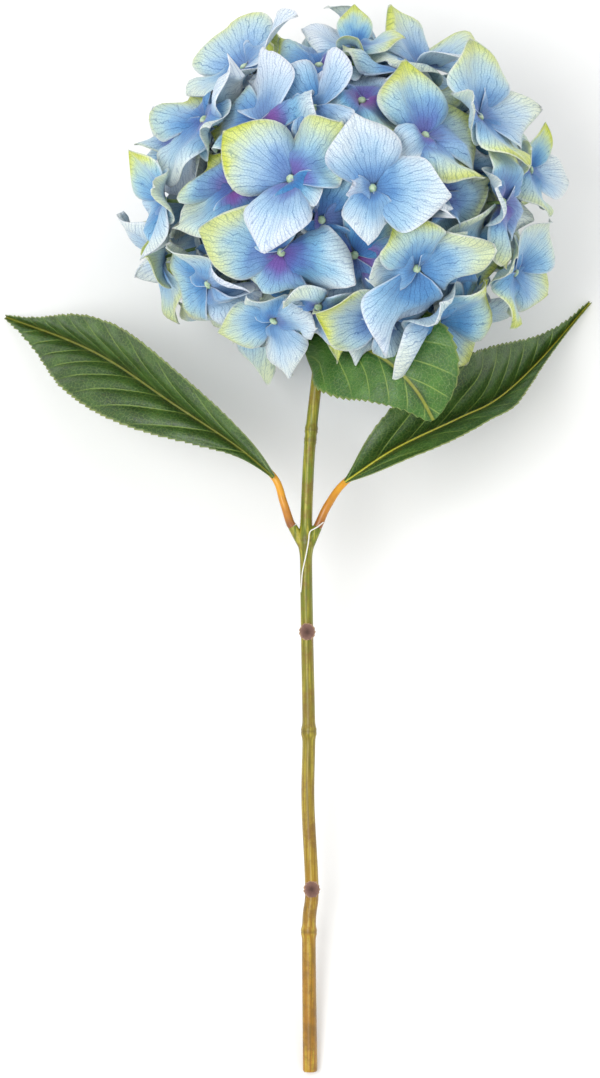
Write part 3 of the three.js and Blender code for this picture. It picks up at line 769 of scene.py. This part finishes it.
# hydrangea sepal, fresh: soft and matt, dyed from a violet hub through sky blue to a pale edge with a
# lime tip, with darker fanned veins, a fine net between them and a thin whitish rim; the deepest blue at the
# hub is partly the sepal's own colour and partly painted shade
petalLook = {
    # the first, darkest blue is partly the sepal's own deep blue and partly painted shade near the hub
    "blues": [(0.0, "#1a5c9b"), (0.2, "#3d86c0"), (0.45, "#84bbde"), (0.7, "#bcd8ec"), (1.0, "#e0e8f3")],
    "backBlues": [(0.0, "#66a4d2"), (0.4, "#a0cae6"), (0.8, "#cddff0"), (1.0, "#e2eaf6")],
    "violets": [(0.0, "#56429c"), (0.5, "#724ca6"), (1.0, "#8c4699")],
    "limes": [(0.0, "#bfd6a2"), (0.4, "#cfda74"), (0.75, "#c2ca42"), (1.0, "#98a835")],
    "pale": "#e3e9f6",
    "vein": "#4379b0",
    "net": "#7fa5c6",
    "rim": "#eef3fa",
    "mesh": 1.3,              # millimetres across a mesh of the net
}


def petalMaterial(name, blues, strength):
    material, tree = newMaterial(name, {
        "Roughness": 0.58, "Specular IOR Level": 0.3, "Sheen Weight": 0.25, "Sheen Roughness": 0.5,
        "Subsurface Weight": 0.2, "Subsurface Scale": 0.002, "Subsurface Radius": (0.8, 0.9, 1.0)})
    uv = addNode(tree, "UVMap", uv_map="petalMap")["UV"]
    x, y, _ = addNode(tree, "SeparateXYZ", [uv])
    mark = addNode(tree, "Attribute", attribute_name="mark")["Vector"]
    edge = addNode(tree, "SeparateXYZ", [mark])["Y"]
    edge = addNode(tree, "Math", [edge], operation="ABSOLUTE")[0]
    tint = addNode(tree, "Attribute", attribute_name="tint")
    lime, violet, pale = addNode(tree, "SeparateColor", [tint["Color"]])
    chance = tint["Alpha"]
    seed = addNode(tree, "Math", [chance, 40.0], operation="MULTIPLY")[0]
    # clouds about 9 mm and 5 mm wide
    cloud, wobble = (addNode(tree, "TexNoise", {"Vector": uv, "W": seed, "Scale": scale, "Detail": detail},
                             noise_dimensions="4D") for scale, detail in ((4.0, 3.0), (7.0, 2.0)))

    # how far out a place is: 0 at the hub, about 1 at the tip, a little more towards the edges
    drift = addNode(tree, "Math", [cloud["Fac"], 0.45, -0.225], operation="MULTIPLY_ADD")[0]
    along = addNode(tree, "Math", [y, drift], operation="ADD")[0]
    bow = addNode(tree, "Math", [edge, edge], operation="MULTIPLY")[0]
    bow = addNode(tree, "Math", [bow, 0.22], operation="MULTIPLY")[0]
    outer = addNode(tree, "Math", [along, 0.85, bow], operation="MULTIPLY_ADD")[0]

    # how much each layer shows, between two places
    share = {}
    for layer, value, *span in (
        ("pale", outer, 0.1, 0.8, 0.15, 0.85), ("violet", outer, 0.03, 0.42, 0.95, 0.0),
        ("limeHue", outer, 0.45, 1.05, 0.0, 1.0), ("lime", outer, 0.28, 0.82, 0.0, 1.0),
        ("veins", y, 0.25, 1.0, 0.72, 0.34), ("fineVeins", y, 0.15, 0.5, 0.15, 0.48),
        ("sideRim", edge, 0.9, 1.0, 0.0, 0.4), ("tipRim", y, 0.96, 1.0, 0.0, 0.4),
    ):
        share[layer] = addNode(tree, "MapRange", [value, *span], interpolation_type="SMOOTHSTEP")[0]
    hues = {
        "pale": linear(petalLook["pale"]),
        "violet": addNode(tree, "ValToRGB", [chance], petalLook["violets"])["Color"],
        "lime": addNode(tree, "ValToRGB", [share["limeHue"]], petalLook["limes"])["Color"],
    }
    base = addNode(tree, "ValToRGB", [outer], blues)["Color"]
    for layer, amount in (("pale", pale), ("violet", violet), ("lime", lime)):
        amount = addNode(tree, "Math", [share[layer], amount], operation="MULTIPLY")[0]
        base = addNode(tree, "Mix", {0: amount, 6: base, 7: hues[layer]}, data_type="RGBA")[2]

    # veins fan out from the hub, a few strong ones and fine ones between them
    across = addNode(tree, "Math", [x, 0.5], operation="SUBTRACT")[0]
    ahead = addNode(tree, "Math", [y, 0.12], operation="ADD")[0]
    angle = addNode(tree, "Math", [across, ahead], operation="ARCTAN2")[0]
    sway = addNode(tree, "Math", [wobble["Fac"], 1.6, 0.5], operation="MULTIPLY_ADD")[0]
    for layer, count, width in (("veins", 6.5, 0.075), ("fineVeins", 17.0, 0.12)):
        turns = addNode(tree, "Math", [angle, count, sway], operation="MULTIPLY_ADD")[0]
        toVein = addNode(tree, "Math", [turns, 0.5], operation="PINGPONG")[0]
        line = addNode(tree, "MapRange", [toVein, 0.0, width, 1.0, 0.0], interpolation_type="SMOOTHSTEP")[0]
        share[layer] = addNode(tree, "Math", [line, share[layer]], operation="MULTIPLY")[0]
    veins = addNode(tree, "Math", [share["veins"], share["fineVeins"]], operation="MAXIMUM")[0]
    veins = addNode(tree, "Math", [veins, strength], operation="MULTIPLY")[0]
    # the net between the veins
    warp = addNode(tree, "VectorMath", [cloud["Color"], (0.03, 0.03, 0.03), uv], operation="MULTIPLY_ADD")[0]
    net = addNode(tree, "TexVoronoi", {"Vector": warp, "Scale": 1000 * petal["length"] / petalLook["mesh"]},
                  voronoi_dimensions="2D", feature="DISTANCE_TO_EDGE")["Distance"]
    net = addNode(tree, "MapRange", [net, 0.0, 0.12, 0.38 * strength, 0.0],
                  interpolation_type="SMOOTHSTEP")[0]
    rim = addNode(tree, "Math", [share["sideRim"], share["tipRim"]], operation="MAXIMUM")[0]
    for amount, hue, blend in ((veins, "vein", "MULTIPLY"), (net, "net", "MULTIPLY"), (rim, "rim", "MIX")):
        base = addNode(tree, "Mix", {0: amount, 6: base, 7: linear(petalLook[hue])},
                       data_type="RGBA", blend_type=blend)[2]
    relief = addNode(tree, "Math", [veins, net], operation="ADD")[0]
    return finishMaterial(material, base, relief, invert=True)


greenLook = {
    # flower button, a tight bud: pale green with a waxy look
    "button": ("flower_bud_waxy", {"Roughness": 0.42, "Subsurface Weight": 0.15, "Subsurface Scale": 0.001},
               600.0, [(0.3, "#8fae86"), (0.7, "#c9dcc0")]),
    # flower stalk, fresh green wood: satin, in two greens
    "stalk": ("flower_stalk_green", {"Roughness": 0.5}, 90.0, [(0.35, "#4c6b3c"), (0.7, "#86a45c")]),
}


def greenMaterial(name, settings, scale, stops):
    material, tree = newMaterial(name, settings)
    place = addNode(tree, "TexCoord")["Object"]
    grain = addNode(tree, "TexNoise", {"Vector": place, "Scale": scale})["Fac"]
    return finishMaterial(material, addNode(tree, "ValToRGB", [grain], stops)["Color"])


stem = {
    "radii": (3.3, 2.5),      # millimetres, at the cut and under the head
    "end": 357,
    "wander": [(0, 0), (-0.5, 66), (0.9, 86), (-0.9, 127), (-0.5, 160), (-1.4, 207), (-1.9, 251),
               (-0.9, 282), (0.5, 301), (2.8, 322), (6.8, 357)],
    # the rings: their place, how far they swell and over what length
    "nodes": [(66, 0.7, 2.0), (160, 0.8, 2.6), (250, 1.2, 5.0), (297, 0.45, 1.3), (302, 0.6, 1.6)],
    "creaseWidth": 0.55,
    "creaseDepth": 0.3,
    # how dark the painted shade in each node's crease is
    "creaseShade": 0.75,
    "ridges": [(0.035, 4, 0, 0.6), (0.02, 7, 9, 0)],   # depth, count round the stem, twist and turn
    "stubRadii": (2.6, 2.2),
    "stubColour": 0.82,       # the place along the stem that has the stubs' colour
    "wear": 0.5,              # of the edge at the cut
    "scars": [(0.8, 86), (-1.3, 207)],
    "scarSize": (3.8, 4.2, 2.7),   # a flat knob with cracks round it and a dished top
    "scarLift": 2.0,
    "dish": 0.22,
}

stemColours = [(0.0, "#a8711b"), (0.22, "#9c741c"), (0.45, "#80741f"), (0.62, "#75791c"), (0.8, "#6d7d1f"),
               (1.0, "#8a8522")]


# hydrangea cane, smooth young bark: glossy green at the top, olive and golden brown below, brown specks,
# painted shade in the creases at the nodes
def barkMaterial():
    material, tree = newMaterial("young_bark_glossy", {
        "Roughness": 0.38, "Specular IOR Level": 0.35, "Coat Weight": 0.12, "Coat Roughness": 0.2})
    place = addNode(tree, "TexCoord")["Object"]
    along, ring = (addNode(tree, "Attribute", attribute_name=name)["Fac"] for name in ("along", "ring"))
    # streaks about 1.1 mm wide run along the stem, with blotches of 14 mm and specks 1.4 mm apart
    turned = addNode(tree, "Mapping", {"Vector": place, "Rotation": (layAngle, 0, 0), "Scale": (1, 20, 1)},
                     vector_type="TEXTURE")[0]
    streak = addNode(tree, "TexNoise", {"Vector": turned, "Scale": 900.0, "Detail": 4.0})["Fac"]
    blotch = addNode(tree, "TexNoise",
                     {"Vector": place, "Scale": 70.0, "Detail": 8.0, "Roughness": 0.8})["Fac"]
    specks = addNode(tree, "TexVoronoi", {"Vector": place, "Scale": 700.0})["Distance"]
    base = addNode(tree, "ValToRGB", [along], stemColours)["Color"]
    for value, *span, hue in (
        (streak, 0.46, 0.3, 0.0, 0.75, "#4f5a12"), (streak, 0.48, 0.68, 0.0, 0.6, "#c4b440"),
        (blotch, 0.47, 0.62, 0.0, 0.8, "#7c5a22"), (specks, 0.05, 0.22, 0.55, 0.0, "#5f3d1c"),
        # the dark ring at each node is painted shade in its crease
        (ring, 0.0, 1.0, 0.0, 1.0, "#5d4a1d"),
    ):
        amount = addNode(tree, "MapRange", [value, *span])[0]
        base = addNode(tree, "Mix", {0: amount, 6: base, 7: linear(hue)}, data_type="RGBA")[2]
    return finishMaterial(material, base, streak, 0.4)


# bud scar, corky: matt purple brown with a paler rim and grains of 1.4 mm
def scarMaterial():
    material, tree = newMaterial("bud_scar_corky", {"Roughness": 0.8})
    place = addNode(tree, "TexCoord")["Object"]
    grain = addNode(tree, "TexNoise",
                    {"Vector": place, "Scale": 700.0, "Detail": 4.0, "Roughness": 0.7})["Fac"]
    outer = addNode(tree, "Attribute", attribute_name="along")["Fac"]
    ringed = addNode(tree, "Math", [grain, 0.5, outer], operation="MULTIPLY_ADD")[0]
    colour = addNode(tree, "ValToRGB", [ringed],
                     [(0.35, "#4d342c"), (0.7, "#6f5046"), (0.95, "#86665a"), (1.0, "#b39070")])["Color"]
    return finishMaterial(material, colour, grain, 0.6, 0.0008)


# share of the way along a line of points, and the point itself, for each of the places
def alongLine(places, line):
    steps = walked(line)
    nearest = np.linalg.norm(places[:, None] - line[None], axis=2).argmin(axis=1)
    return steps[nearest] / steps[-1], line[nearest]


def makeStem():
    millimetres = smoothLine([(x, y, 0) for x, y in stem["wander"]], 420)
    at = millimetres[:, 1]
    share = at / stem["end"]
    radii = stem["radii"][0] + (stem["radii"][1] - stem["radii"][0]) * share
    ring = np.zeros(len(at))
    for place, swell, half in stem["nodes"]:
        bell = np.exp(-((at - place) / half) ** 2)
        creaseAndShade = np.exp(-((at - place) / stem["creaseWidth"]) ** 2)
        radii = radii + swell * bell - stem["creaseDepth"] * creaseAndShade
        ring = np.maximum(ring, stem["creaseShade"] * creaseAndShade)
    radii[0] -= stem["wear"]
    line = onPlant(millimetres)
    tube = makeRod("tube", line, radii * 0.001, 24)
    places = readPoints(tube.data)
    along, middle = alongLine(places, line)
    offset = places - middle
    turn = np.arctan2(offset @ towardsSky, offset[:, 0])
    ridges = 1 + sum(depth * np.cos(number * turn + twist * along + start)
                     for depth, number, twist, start in stem["ridges"])
    writePoints(tube.data, middle + offset * ridges[:, None])
    setAttribute(tube.data, "along", "FLOAT", "value", along)
    # ring carries the painted shade of the node creases to the bark
    setAttribute(tube.data, "ring", "FLOAT", "value", np.interp(along, share, ring))
    tube.data.materials.append(bark)
    parts = [tube]
    for leaf in leaves.values():
        path = onPlant(smoothLine(leaf["stub"], 12))
        stub = makeRod("stub", path, np.linspace(*stem["stubRadii"], 12) * 0.001, 16)
        setAttribute(stub.data, "along", "FLOAT", "value",
                     np.full(len(stub.data.vertices), stem["stubColour"]))
        stub.data.materials.append(bark)
        parts.append(stub)
    for x, y in stem["scars"]:
        deselectAll()
        bpy.ops.mesh.primitive_uv_sphere_add(segments=48, ring_count=24, radius=1)
        ball = bpy.context.active_object
        places = readPoints(ball.data)
        around = np.arctan2(places[:, 1], places[:, 0])
        flatness = places[:, 2].clip(0)
        cracks = 1 + 0.05 * np.cos(13 * around + 4 * flatness) * (1 - flatness) + 0.03 * np.cos(29 * around)
        dish = 1 - stem["dish"] * smooth(0.75, 1.0, flatness)
        local = places * np.column_stack([cracks, cracks, dish]) * np.array(stem["scarSize"])
        writePoints(ball.data, onPlant(local + np.array([x, y, stem["scarLift"]])))
        setAttribute(ball.data, "along", "FLOAT", "value", 0.8 * np.hypot(places[:, 0], places[:, 1]))
        ball.data.materials.append(scarFinish)
        bpy.ops.object.shade_smooth()
        parts.append(ball)
    whole = joinAll(parts, "woody_stem")
    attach(whole, "root")
    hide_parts("flower_stem")


# places and widths in millimetres on the plant, folds in degrees, with the left and the right half apart;
# unfold is how much flatter the tip is, lobes how far the base's corners hang back, fresh how bright its
# green is and rib how yellow its midrib
leaves = {
    "left": {
        "stub": [(-3, 247.5, 0), (-8.2, 256.4, 0.4)],
        "stalkBend": (-12.5, 268, 1.4),
        "midrib": [(-16.9, 279.7, 3), (-35.3, 295, 3), (-65.8, 315.5, -10), (-94, 335, -31),
                   (-117.5, 347, -53)],
        "tip": (-148.2, 358.8), "faces": (-0.12, 0.1, 1), "widths": (27, 27), "folds": (30, 70), "lobes": 0,
        "peak": (0.52, 0.48), "ends": ((1.8, 1.45), (0.85, 1.75)), "unfold": 0.12,
        "stalkShare": 0.6, "pleat": 2.2, "fresh": 0.1, "rib": 0.3,
    },
    "right": {
        "stub": [(-0.6, 247.5, 0), (3.5, 256.2, 0.4)],
        "stalkBend": (8.4, 266.5, 1.4),
        "midrib": [(16.5, 277.3, 3), (40, 292.8, 3), (70.5, 307.5, -12), (89.3, 317, -27), (110, 335.5, -52)],
        "tip": (136.8, 365.6), "faces": (0.02, 0.0, 1), "widths": (29, 26), "folds": (28, 78), "lobes": 0,
        "peak": (0.38, 0.26), "ends": ((1.15, 2.0), (1.1, 2.2)), "unfold": -0.25,
        "stalkShare": 0.75, "pleat": 1.5, "fresh": 0.15, "rib": 0.9,
    },
    "front": {
        "stub": [(3.6, 326, 1), (6.2, 330.6, 4.6)],
        "stalkBend": (7, 339, 7.8),
        "midrib": [(4.5, 347, 9), (12, 345.5, 15), (21, 341.5, 22), (33, 335, 29), (42.5, 327, 33),
                   (50.5, 317.5, 33)],
        "tip": (57.3, 305.5, 30), "faces": (-0.08, -0.12, 0.97), "widths": (30, 26), "folds": (-22, 8),
        "lobes": 9, "peak": (0.62, 0.26), "ends": ((0.8, 0.85), (0.45, 0.95)), "unfold": 0.5,
        "stalkShare": 0.25, "pleat": 0.7, "fresh": 0.8, "rib": 0.35,
    },
}

leafShape = {
    "thickness": 0.00038,
    "along": 220,
    "across": 30,
    "veinSpacing": 17.0,
    "veinLean": (1.9, 0.03),   # how far a side vein runs on to the tip, per millimetre out and its square
    "toothPitch": 3.6,
    "tooth": 1.2,
    "ripple": 0.9,             # at the edges
    "rippleLength": 9.0,
    "groove": 1.3,             # of the midrib
    "grooveWidth": 1.7,
    "tipHeight": 1.3,
    "floorGap": 0.0007,
    "mapUnit": 100.0,          # millimetres in one unit of the leaf map
}


# the midrib in plant millimetres with, at each point, the directions forward, left and out of the upper face
def midribOf(leaf, count):
    tip = leaf["tip"]
    if len(tip) == 2:
        # the tips of the long leaves come down to just over the surface
        height = leafShape["tipHeight"] - plantZero[2] * 1000
        tip = (*tip, (height - tip[1] * math.sin(layAngle)) / math.cos(layAngle))
    line = smoothLine([*leaf["midrib"], tip], count)
    forward = unit(np.gradient(line, axis=0))
    left = unit(np.cross(np.array(leaf["faces"], float), forward))
    return line, forward, left, np.cross(forward, left)


def veinPhase(along, out):
    lean, curl = leafShape["veinLean"]
    return (along - lean * out + curl * out ** 2 * 0.5) / leafShape["veinSpacing"]


# share of the full width along one half of a blade
def halfOutline(share, leaf, side):
    peak, ends = leaf["peak"][side], leaf["ends"][side]
    towardsEnd = np.where(share < peak, 1 - share / peak, (share - peak) / (1 - peak))
    return 0.04 + 0.96 * np.cos(towardsEnd * math.pi / 2).clip(0) ** np.where(share < peak, *ends)


def makeLeaf(name, leaf):
    count = leafShape["along"] + 1
    line, forward, left, out = midribOf(leaf, count)
    length = walked(line)[-1]
    deselectAll()
    bpy.ops.mesh.primitive_grid_add(x_subdivisions=leafShape["along"], y_subdivisions=leafShape["across"],
                                    size=2)
    blade = bpy.context.active_object
    blade.name = blade.data.name = name + "_leaf"
    flat = readPoints(blade.data)
    share = (flat[:, 0] + 1) / 2
    index = np.rint(share * leafShape["along"]).astype(int)
    v = flat[:, 1]
    outline = np.where(v > 0, halfOutline(share, leaf, 0), halfOutline(share, leaf, 1))
    width = np.where(v > 0, leaf["widths"][0], leaf["widths"][1]) * outline
    s = share * length
    teeth = ((s / leafShape["toothPitch"]) % 1) * leafShape["tooth"]
    teeth *= smooth(0.08, 0.2, share) * (1 - smooth(0.96, 1, share))
    reach = width * np.abs(v) + teeth * smooth(0.86, 1.0, np.abs(v))
    fold = np.radians(np.where(v > 0, leaf["folds"][0], leaf["folds"][1]) * (1 - leaf["unfold"] * share))
    # the halves rise from the midrib in a rounded fold and flatten a little towards their edges
    soften = 1 - 0.12 * smooth(0.5, 1.0, np.abs(v))
    side = np.sign(v) * reach * np.cos(fold * soften)
    lift = reach * np.sin(fold * soften)
    phase = veinPhase(s, reach)
    bulge = np.abs(np.sin(np.pi * phase)) ** 0.7
    fade = smooth(0.0, 0.25, reach / 27) * (1 - 0.55 * smooth(0.7, 1.0, np.abs(v)))
    fade *= smooth(0.02, 0.15, share)
    lift += leaf["pleat"] * bulge * fade
    lift += leafShape["ripple"] * np.sin(s / leafShape["rippleLength"] + np.sign(v)) * v ** 4 * outline
    lift -= leafShape["groove"] * np.exp(-(reach / leafShape["grooveWidth"]) ** 2) * smooth(0, 0.2, share)
    places = line[index] + left[index] * side[:, None] + out[index] * lift[:, None]
    places -= forward[index] * (leaf["lobes"] * v ** 2 * (1 - share) ** 3)[:, None]
    world = onPlant(places)
    world[:, 2] = world[:, 2].clip(leafShape["floorGap"])
    writePoints(blade.data, world)
    uvLayer = blade.data.uv_layers.active
    uvLayer.name = "leafMap"
    leafMap = np.column_stack([np.sign(v) * reach, s]) / leafShape["mapUnit"]
    uvLayer.data.foreach_set("uv", leafMap[readCorners(blade.data)].ravel())
    tint = np.column_stack([np.full(len(v), leaf["fresh"]), np.full(len(v), leaf["rib"]), np.abs(v), share])
    setAttribute(blade.data, "leafTint", "FLOAT_COLOR", "color", tint)
    blade.data.materials.append(leafFinish)
    blade.data.materials.append(leafBackFinish)
    solid = blade.modifiers.new("thickness", "SOLIDIFY")
    solid.thickness = leafShape["thickness"]
    solid.offset = -1
    solid.material_offset = 1
    selectOnly(blade)
    bpy.ops.object.modifier_apply(modifier="thickness")
    bpy.ops.object.shade_smooth()
    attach(blade, "root")
    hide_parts(name + "_leaf_blade")


# hydrangea leaf: dark green satin upper face with yellow green veins sunk between pleats and painted shade in
# the groove along the midrib, paler matt back
leafLook = {
    "dark": [(0.3, "#263c18"), (0.5, "#324d20"), (0.7, "#45632a")],
    "bright": [(0.3, "#2c5818"), (0.5, "#38691d"), (0.7, "#4a7c28")],
    "speckle": "#86a05a",
    "net": "#86a04a",
    "vein": "#86a04a",
    # painted shade in the groove beside the midrib
    "creaseAndShade": "#1b2a10",
    "midrib": "#cdca45",
    "rim": "#a9b36a",
    "back": "#8aa37c",
    "backShare": 0.45,
}


def leafMaterial(name, upper):
    material, tree = newMaterial(name, {"Roughness": 0.34 if upper else 0.6, "Specular IOR Level": 0.5,
                                        "Subsurface Weight": 0.08, "Subsurface Scale": 0.001})
    uv = addNode(tree, "UVMap", uv_map="leafMap")["UV"]
    x, y, _ = addNode(tree, "SeparateXYZ", [uv])
    tint = addNode(tree, "Attribute", attribute_name="leafTint")["Color"]
    fresh, rib, edge = addNode(tree, "SeparateColor", [tint])
    # clouds about 11 mm wide, a grain of 0.9 mm and a net with meshes of 2.2 mm
    cloud, grain = (addNode(tree, "TexNoise", {"Vector": uv, "Scale": scale, "Detail": detail})["Fac"]
                    for scale, detail in ((9.0, 4.0), (110.0, 3.0)))
    net = addNode(tree, "TexVoronoi", {"Vector": uv, "Scale": 45.0},
                  voronoi_dimensions="2D", feature="DISTANCE_TO_EDGE")["Distance"]

    # side veins where the pleats have them, as veinPhase gives, in millimetres
    lean, curl = leafShape["veinLean"]
    out = addNode(tree, "Math", [x], operation="ABSOLUTE")[0]
    out = addNode(tree, "Math", [out, leafShape["mapUnit"]], operation="MULTIPLY")[0]
    slant = addNode(tree, "Math", [out, curl * 0.5, -lean], operation="MULTIPLY_ADD")[0]
    slant = addNode(tree, "Math", [slant, out], operation="MULTIPLY")[0]
    along = addNode(tree, "Math", [y, leafShape["mapUnit"], slant], operation="MULTIPLY_ADD")[0]
    phase = addNode(tree, "Math", [along, leafShape["veinSpacing"]], operation="DIVIDE")[0]
    toVein = addNode(tree, "Math", [phase, 0.5], operation="PINGPONG")[0]

    # how much each layer shows, between two places
    share = {}
    for layer, value, *span in (
        ("speckle", grain, 0.5, 0.75, 0.0, 0.35), ("net", net, 0.0, 0.09, 0.28, 0.0),
        ("vein", toVein, 0.012, 0.055, 1.0, 0.0), ("veinFade", edge, 0.55, 1.0, 0.75, 0.1),
        # the painted shade of the midrib's groove, up to 3 mm to either side of it, weaker towards the edges
        ("creaseAndShade", out, 0.6, 3.0, 0.55, 0.0), ("creaseFade", edge, 0.0, 0.3, 1.0, 0.4),
        ("midrib", out, 0.4, 0.95, 1.0, 0.0), ("rim", edge, 0.95, 1.0, 0.0, 0.5),
    ):
        share[layer] = addNode(tree, "MapRange", [value, *span], interpolation_type="SMOOTHSTEP")[0]
    for layer, fade in (("vein", share["veinFade"]), ("creaseAndShade", share["creaseFade"]), ("midrib", rib)):
        share[layer] = addNode(tree, "Math", [share[layer], fade], operation="MULTIPLY")[0]
    dark, bright = (addNode(tree, "ValToRGB", [cloud], leafLook[kind])["Color"]
                    for kind in ("dark", "bright"))
    base = addNode(tree, "Mix", {0: fresh, 6: dark, 7: bright}, data_type="RGBA")[2]
    share["back"] = 0.0 if upper else leafLook["backShare"]
    for layer in ("speckle", "net", "vein", "creaseAndShade", "midrib", "rim", "back"):
        base = addNode(tree, "Mix", {0: share[layer], 6: base, 7: linear(leafLook[layer])},
                       data_type="RGBA")[2]
    ridges = addNode(tree, "Math", [share["vein"], share["net"]], operation="ADD")[0]
    relief = addNode(tree, "Math", [ridges, -0.8, grain], operation="MULTIPLY_ADD")[0]
    return finishMaterial(material, base, relief, depth=0.0005)


stalk = {
    "base": 2.1,              # radii in millimetres
    "tip": 0.8,
    "bareTaper": 0.35,        # how much of the taper is done where the blade begins
    "straight": 2.5,
    "beneath": 1.8,           # millimetres under the midrib
}


# leaf stalk, fleshy: glossy orange yellow with a reddish brown foot
def stalkOrangeMaterial():
    material, tree = newMaterial("leaf_stalk_glossy", {
        "Roughness": 0.35, "Subsurface Weight": 0.15, "Subsurface Scale": 0.001, "Coat Weight": 0.2})
    along = addNode(tree, "Attribute", attribute_name="along")["Fac"]
    place = addNode(tree, "TexCoord")["Object"]
    grain = addNode(tree, "TexNoise", {"Vector": place, "Scale": 260.0, "Detail": 3.0})["Fac"]
    wander = addNode(tree, "Math", [grain, 0.12, along], operation="MULTIPLY_ADD")[0]
    colour = addNode(tree, "ValToRGB", [wander], [(0.06, "#8d551c"), (0.13, "#bf7d18"), (0.2, "#dc9a12"),
                                                  (0.5, "#e3a914"), (1.0, "#dcba30")])["Color"]
    return finishMaterial(material, colour)


def makeStalk(name, leaf):
    count = 100
    line, _, _, out = midribOf(leaf, count + 1)
    done = stalk["bareTaper"]
    start = np.array(leaf["stub"][1], float)
    alongStub = unit(start - np.array(leaf["stub"][0], float))
    beneath = []
    for share in np.linspace(0, leaf["stalkShare"], 7):
        i = int(round(share * count))
        taper = done + (1 - done) * share / leaf["stalkShare"]
        radius = stalk["base"] + (stalk["tip"] - stalk["base"]) * taper
        beneath.append(line[i] - out[i] * (stalk["beneath"] + radius))
    bend = np.array(leaf["stalkBend"], float)
    path = smoothLine([start + alongStub * 0.1, start + alongStub * stalk["straight"], bend, *beneath], 90)
    steps = walked(path)
    share = steps / steps[-1]
    bare = (np.linalg.norm(bend - start) + np.linalg.norm(beneath[0] - bend)) / steps[-1]
    taper = np.where(share < bare, done * share / bare, done + (1 - done) * (share - bare) / (1 - bare))
    radii = stalk["base"] + (stalk["tip"] - stalk["base"]) * taper
    world = onPlant(path)
    rod = makeRod(name + "_stalk", world, radii * 0.001, 16)
    along, _ = alongLine(readPoints(rod.data), world)
    setAttribute(rod.data, "along", "FLOAT", "value", along)
    rod.data.materials.append(stalkFinish)
    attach(rod, "root")
    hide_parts(name + "_leaf_stalk")


branches = {
    "fork": (8, 362, 0),
    "knots": 9,
    "heights": (0.75, -0.5),  # cosines of the first and the last knot from the top
    "knotShare": 0.3,         # distances from the head's middle, as a share of its radius there
    "bendShare": 0.45,
    "endShare": 0.615,
    "knot": 3.0,              # radii in millimetres
    "limb": (1.9, 1.5),
    "twig": 1.0,
}


def makeBranches(headMiddle, florets):
    fork = onPlant(branches["fork"])[0]
    top = onPlant((*stem["wander"][-1], 0))[0]
    trunk = smoothLine([top, (top + fork) / 2, fork], 8)
    parts = [makeRod("trunk", trunk, np.full(8, stem["radii"][1] * 0.001), 12)]
    knots = []
    first, last = branches["heights"]
    for i in range(branches["knots"]):
        outward = spiralDirection(i, first + (last - first) * i / (branches["knots"] - 1))
        knots.append(headMiddle + outward * float(egg(outward[None])[0]) * branches["knotShare"])
    for knot in knots:
        limb = smoothLine([fork, fork * 0.45 + knot * 0.55, knot], 8)
        parts.append(makeRod("limb", limb, np.linspace(*branches["limb"], 8) * 0.001, 8))
        deselectAll()
        bpy.ops.mesh.primitive_uv_sphere_add(segments=12, ring_count=8, radius=branches["knot"] * 0.001,
                                             location=knot)
        bpy.ops.object.transform_apply(location=True, rotation=True, scale=True)
        bpy.ops.object.shade_smooth()
        parts.append(bpy.context.active_object)
    for one in florets.values():
        end = headMiddle + one["outward"] * one["radius"] * branches["endShare"]
        before = headMiddle + one["outward"] * one["radius"] * branches["bendShare"]
        start = min(knots, key=lambda knot: np.linalg.norm(knot - end))
        twig = smoothLine([start, start * 0.6 + before * 0.4, before, end], 9)
        parts.append(makeRod("twig", twig, np.full(9, branches["twig"] * 0.001), 8))
    whole = joinAll(parts, "head_branches")
    whole.data.materials.clear()
    whole.data.materials.append(petalMaterials[3])
    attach(whole, "root")
    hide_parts("flower_branches")


def makeStage():
    deselectAll()
    bpy.ops.mesh.primitive_plane_add(size=8, location=(0, 0, -0.0002))
    floor = bpy.context.active_object
    floor.name = "floor"
    paper = {"Base Color": linear("#f4f4f3"), "Roughness": 0.9}
    floor.data.materials.append(newMaterial("paper_backdrop_matt", paper)[0])
    world = bpy.data.worlds.new("studio")
    world.use_nodes = True
    world.node_tree.nodes["Background"].inputs["Color"].default_value = (1, 1, 1, 1)
    world.node_tree.nodes["Background"].inputs["Strength"].default_value = 0.9
    bpy.context.scene.world = world
    for name, place, size, power in (("key", (-0.8, -0.3, 1.9), 1.0, 20), ("fill", (1.2, 0.9, 1.5), 1.5, 6)):
        data = bpy.data.lights.new(name, "AREA")
        data.size = size
        data.energy = power
        lamp = addObject(name, data)
        lamp.location = place
        lamp.rotation_euler = (Vector((0, 0.1, 0)) - Vector(place)).to_track_quat("-Z", "Y").to_euler()
    bpy.context.scene.view_settings.view_transform = "Standard"


makeCamera()
makeThread()
print("thread made")
petalMaterials += [petalMaterial("petal_upper_face", petalLook["blues"], 1.0),
                   petalMaterial("petal_under_face", petalLook["backBlues"], 0.8),
                   greenMaterial(*greenLook["button"]), greenMaterial(*greenLook["stalk"])]
headMiddle, florets = placeFlorets()
print("florets made", len(florets))
makeBranches(headMiddle, florets)
print("branches made")
bark = barkMaterial()
scarFinish = scarMaterial()
makeStem()
print("stem made")
leafFinish = leafMaterial("leaf_upper_face_satin", True)
leafBackFinish = leafMaterial("leaf_under_face_matt", False)
stalkFinish = stalkOrangeMaterial()
for name, leaf in leaves.items():
    makeLeaf(name, leaf)
    makeStalk(name, leaf)
print("leaves made")
makeStage()
print("stage made")
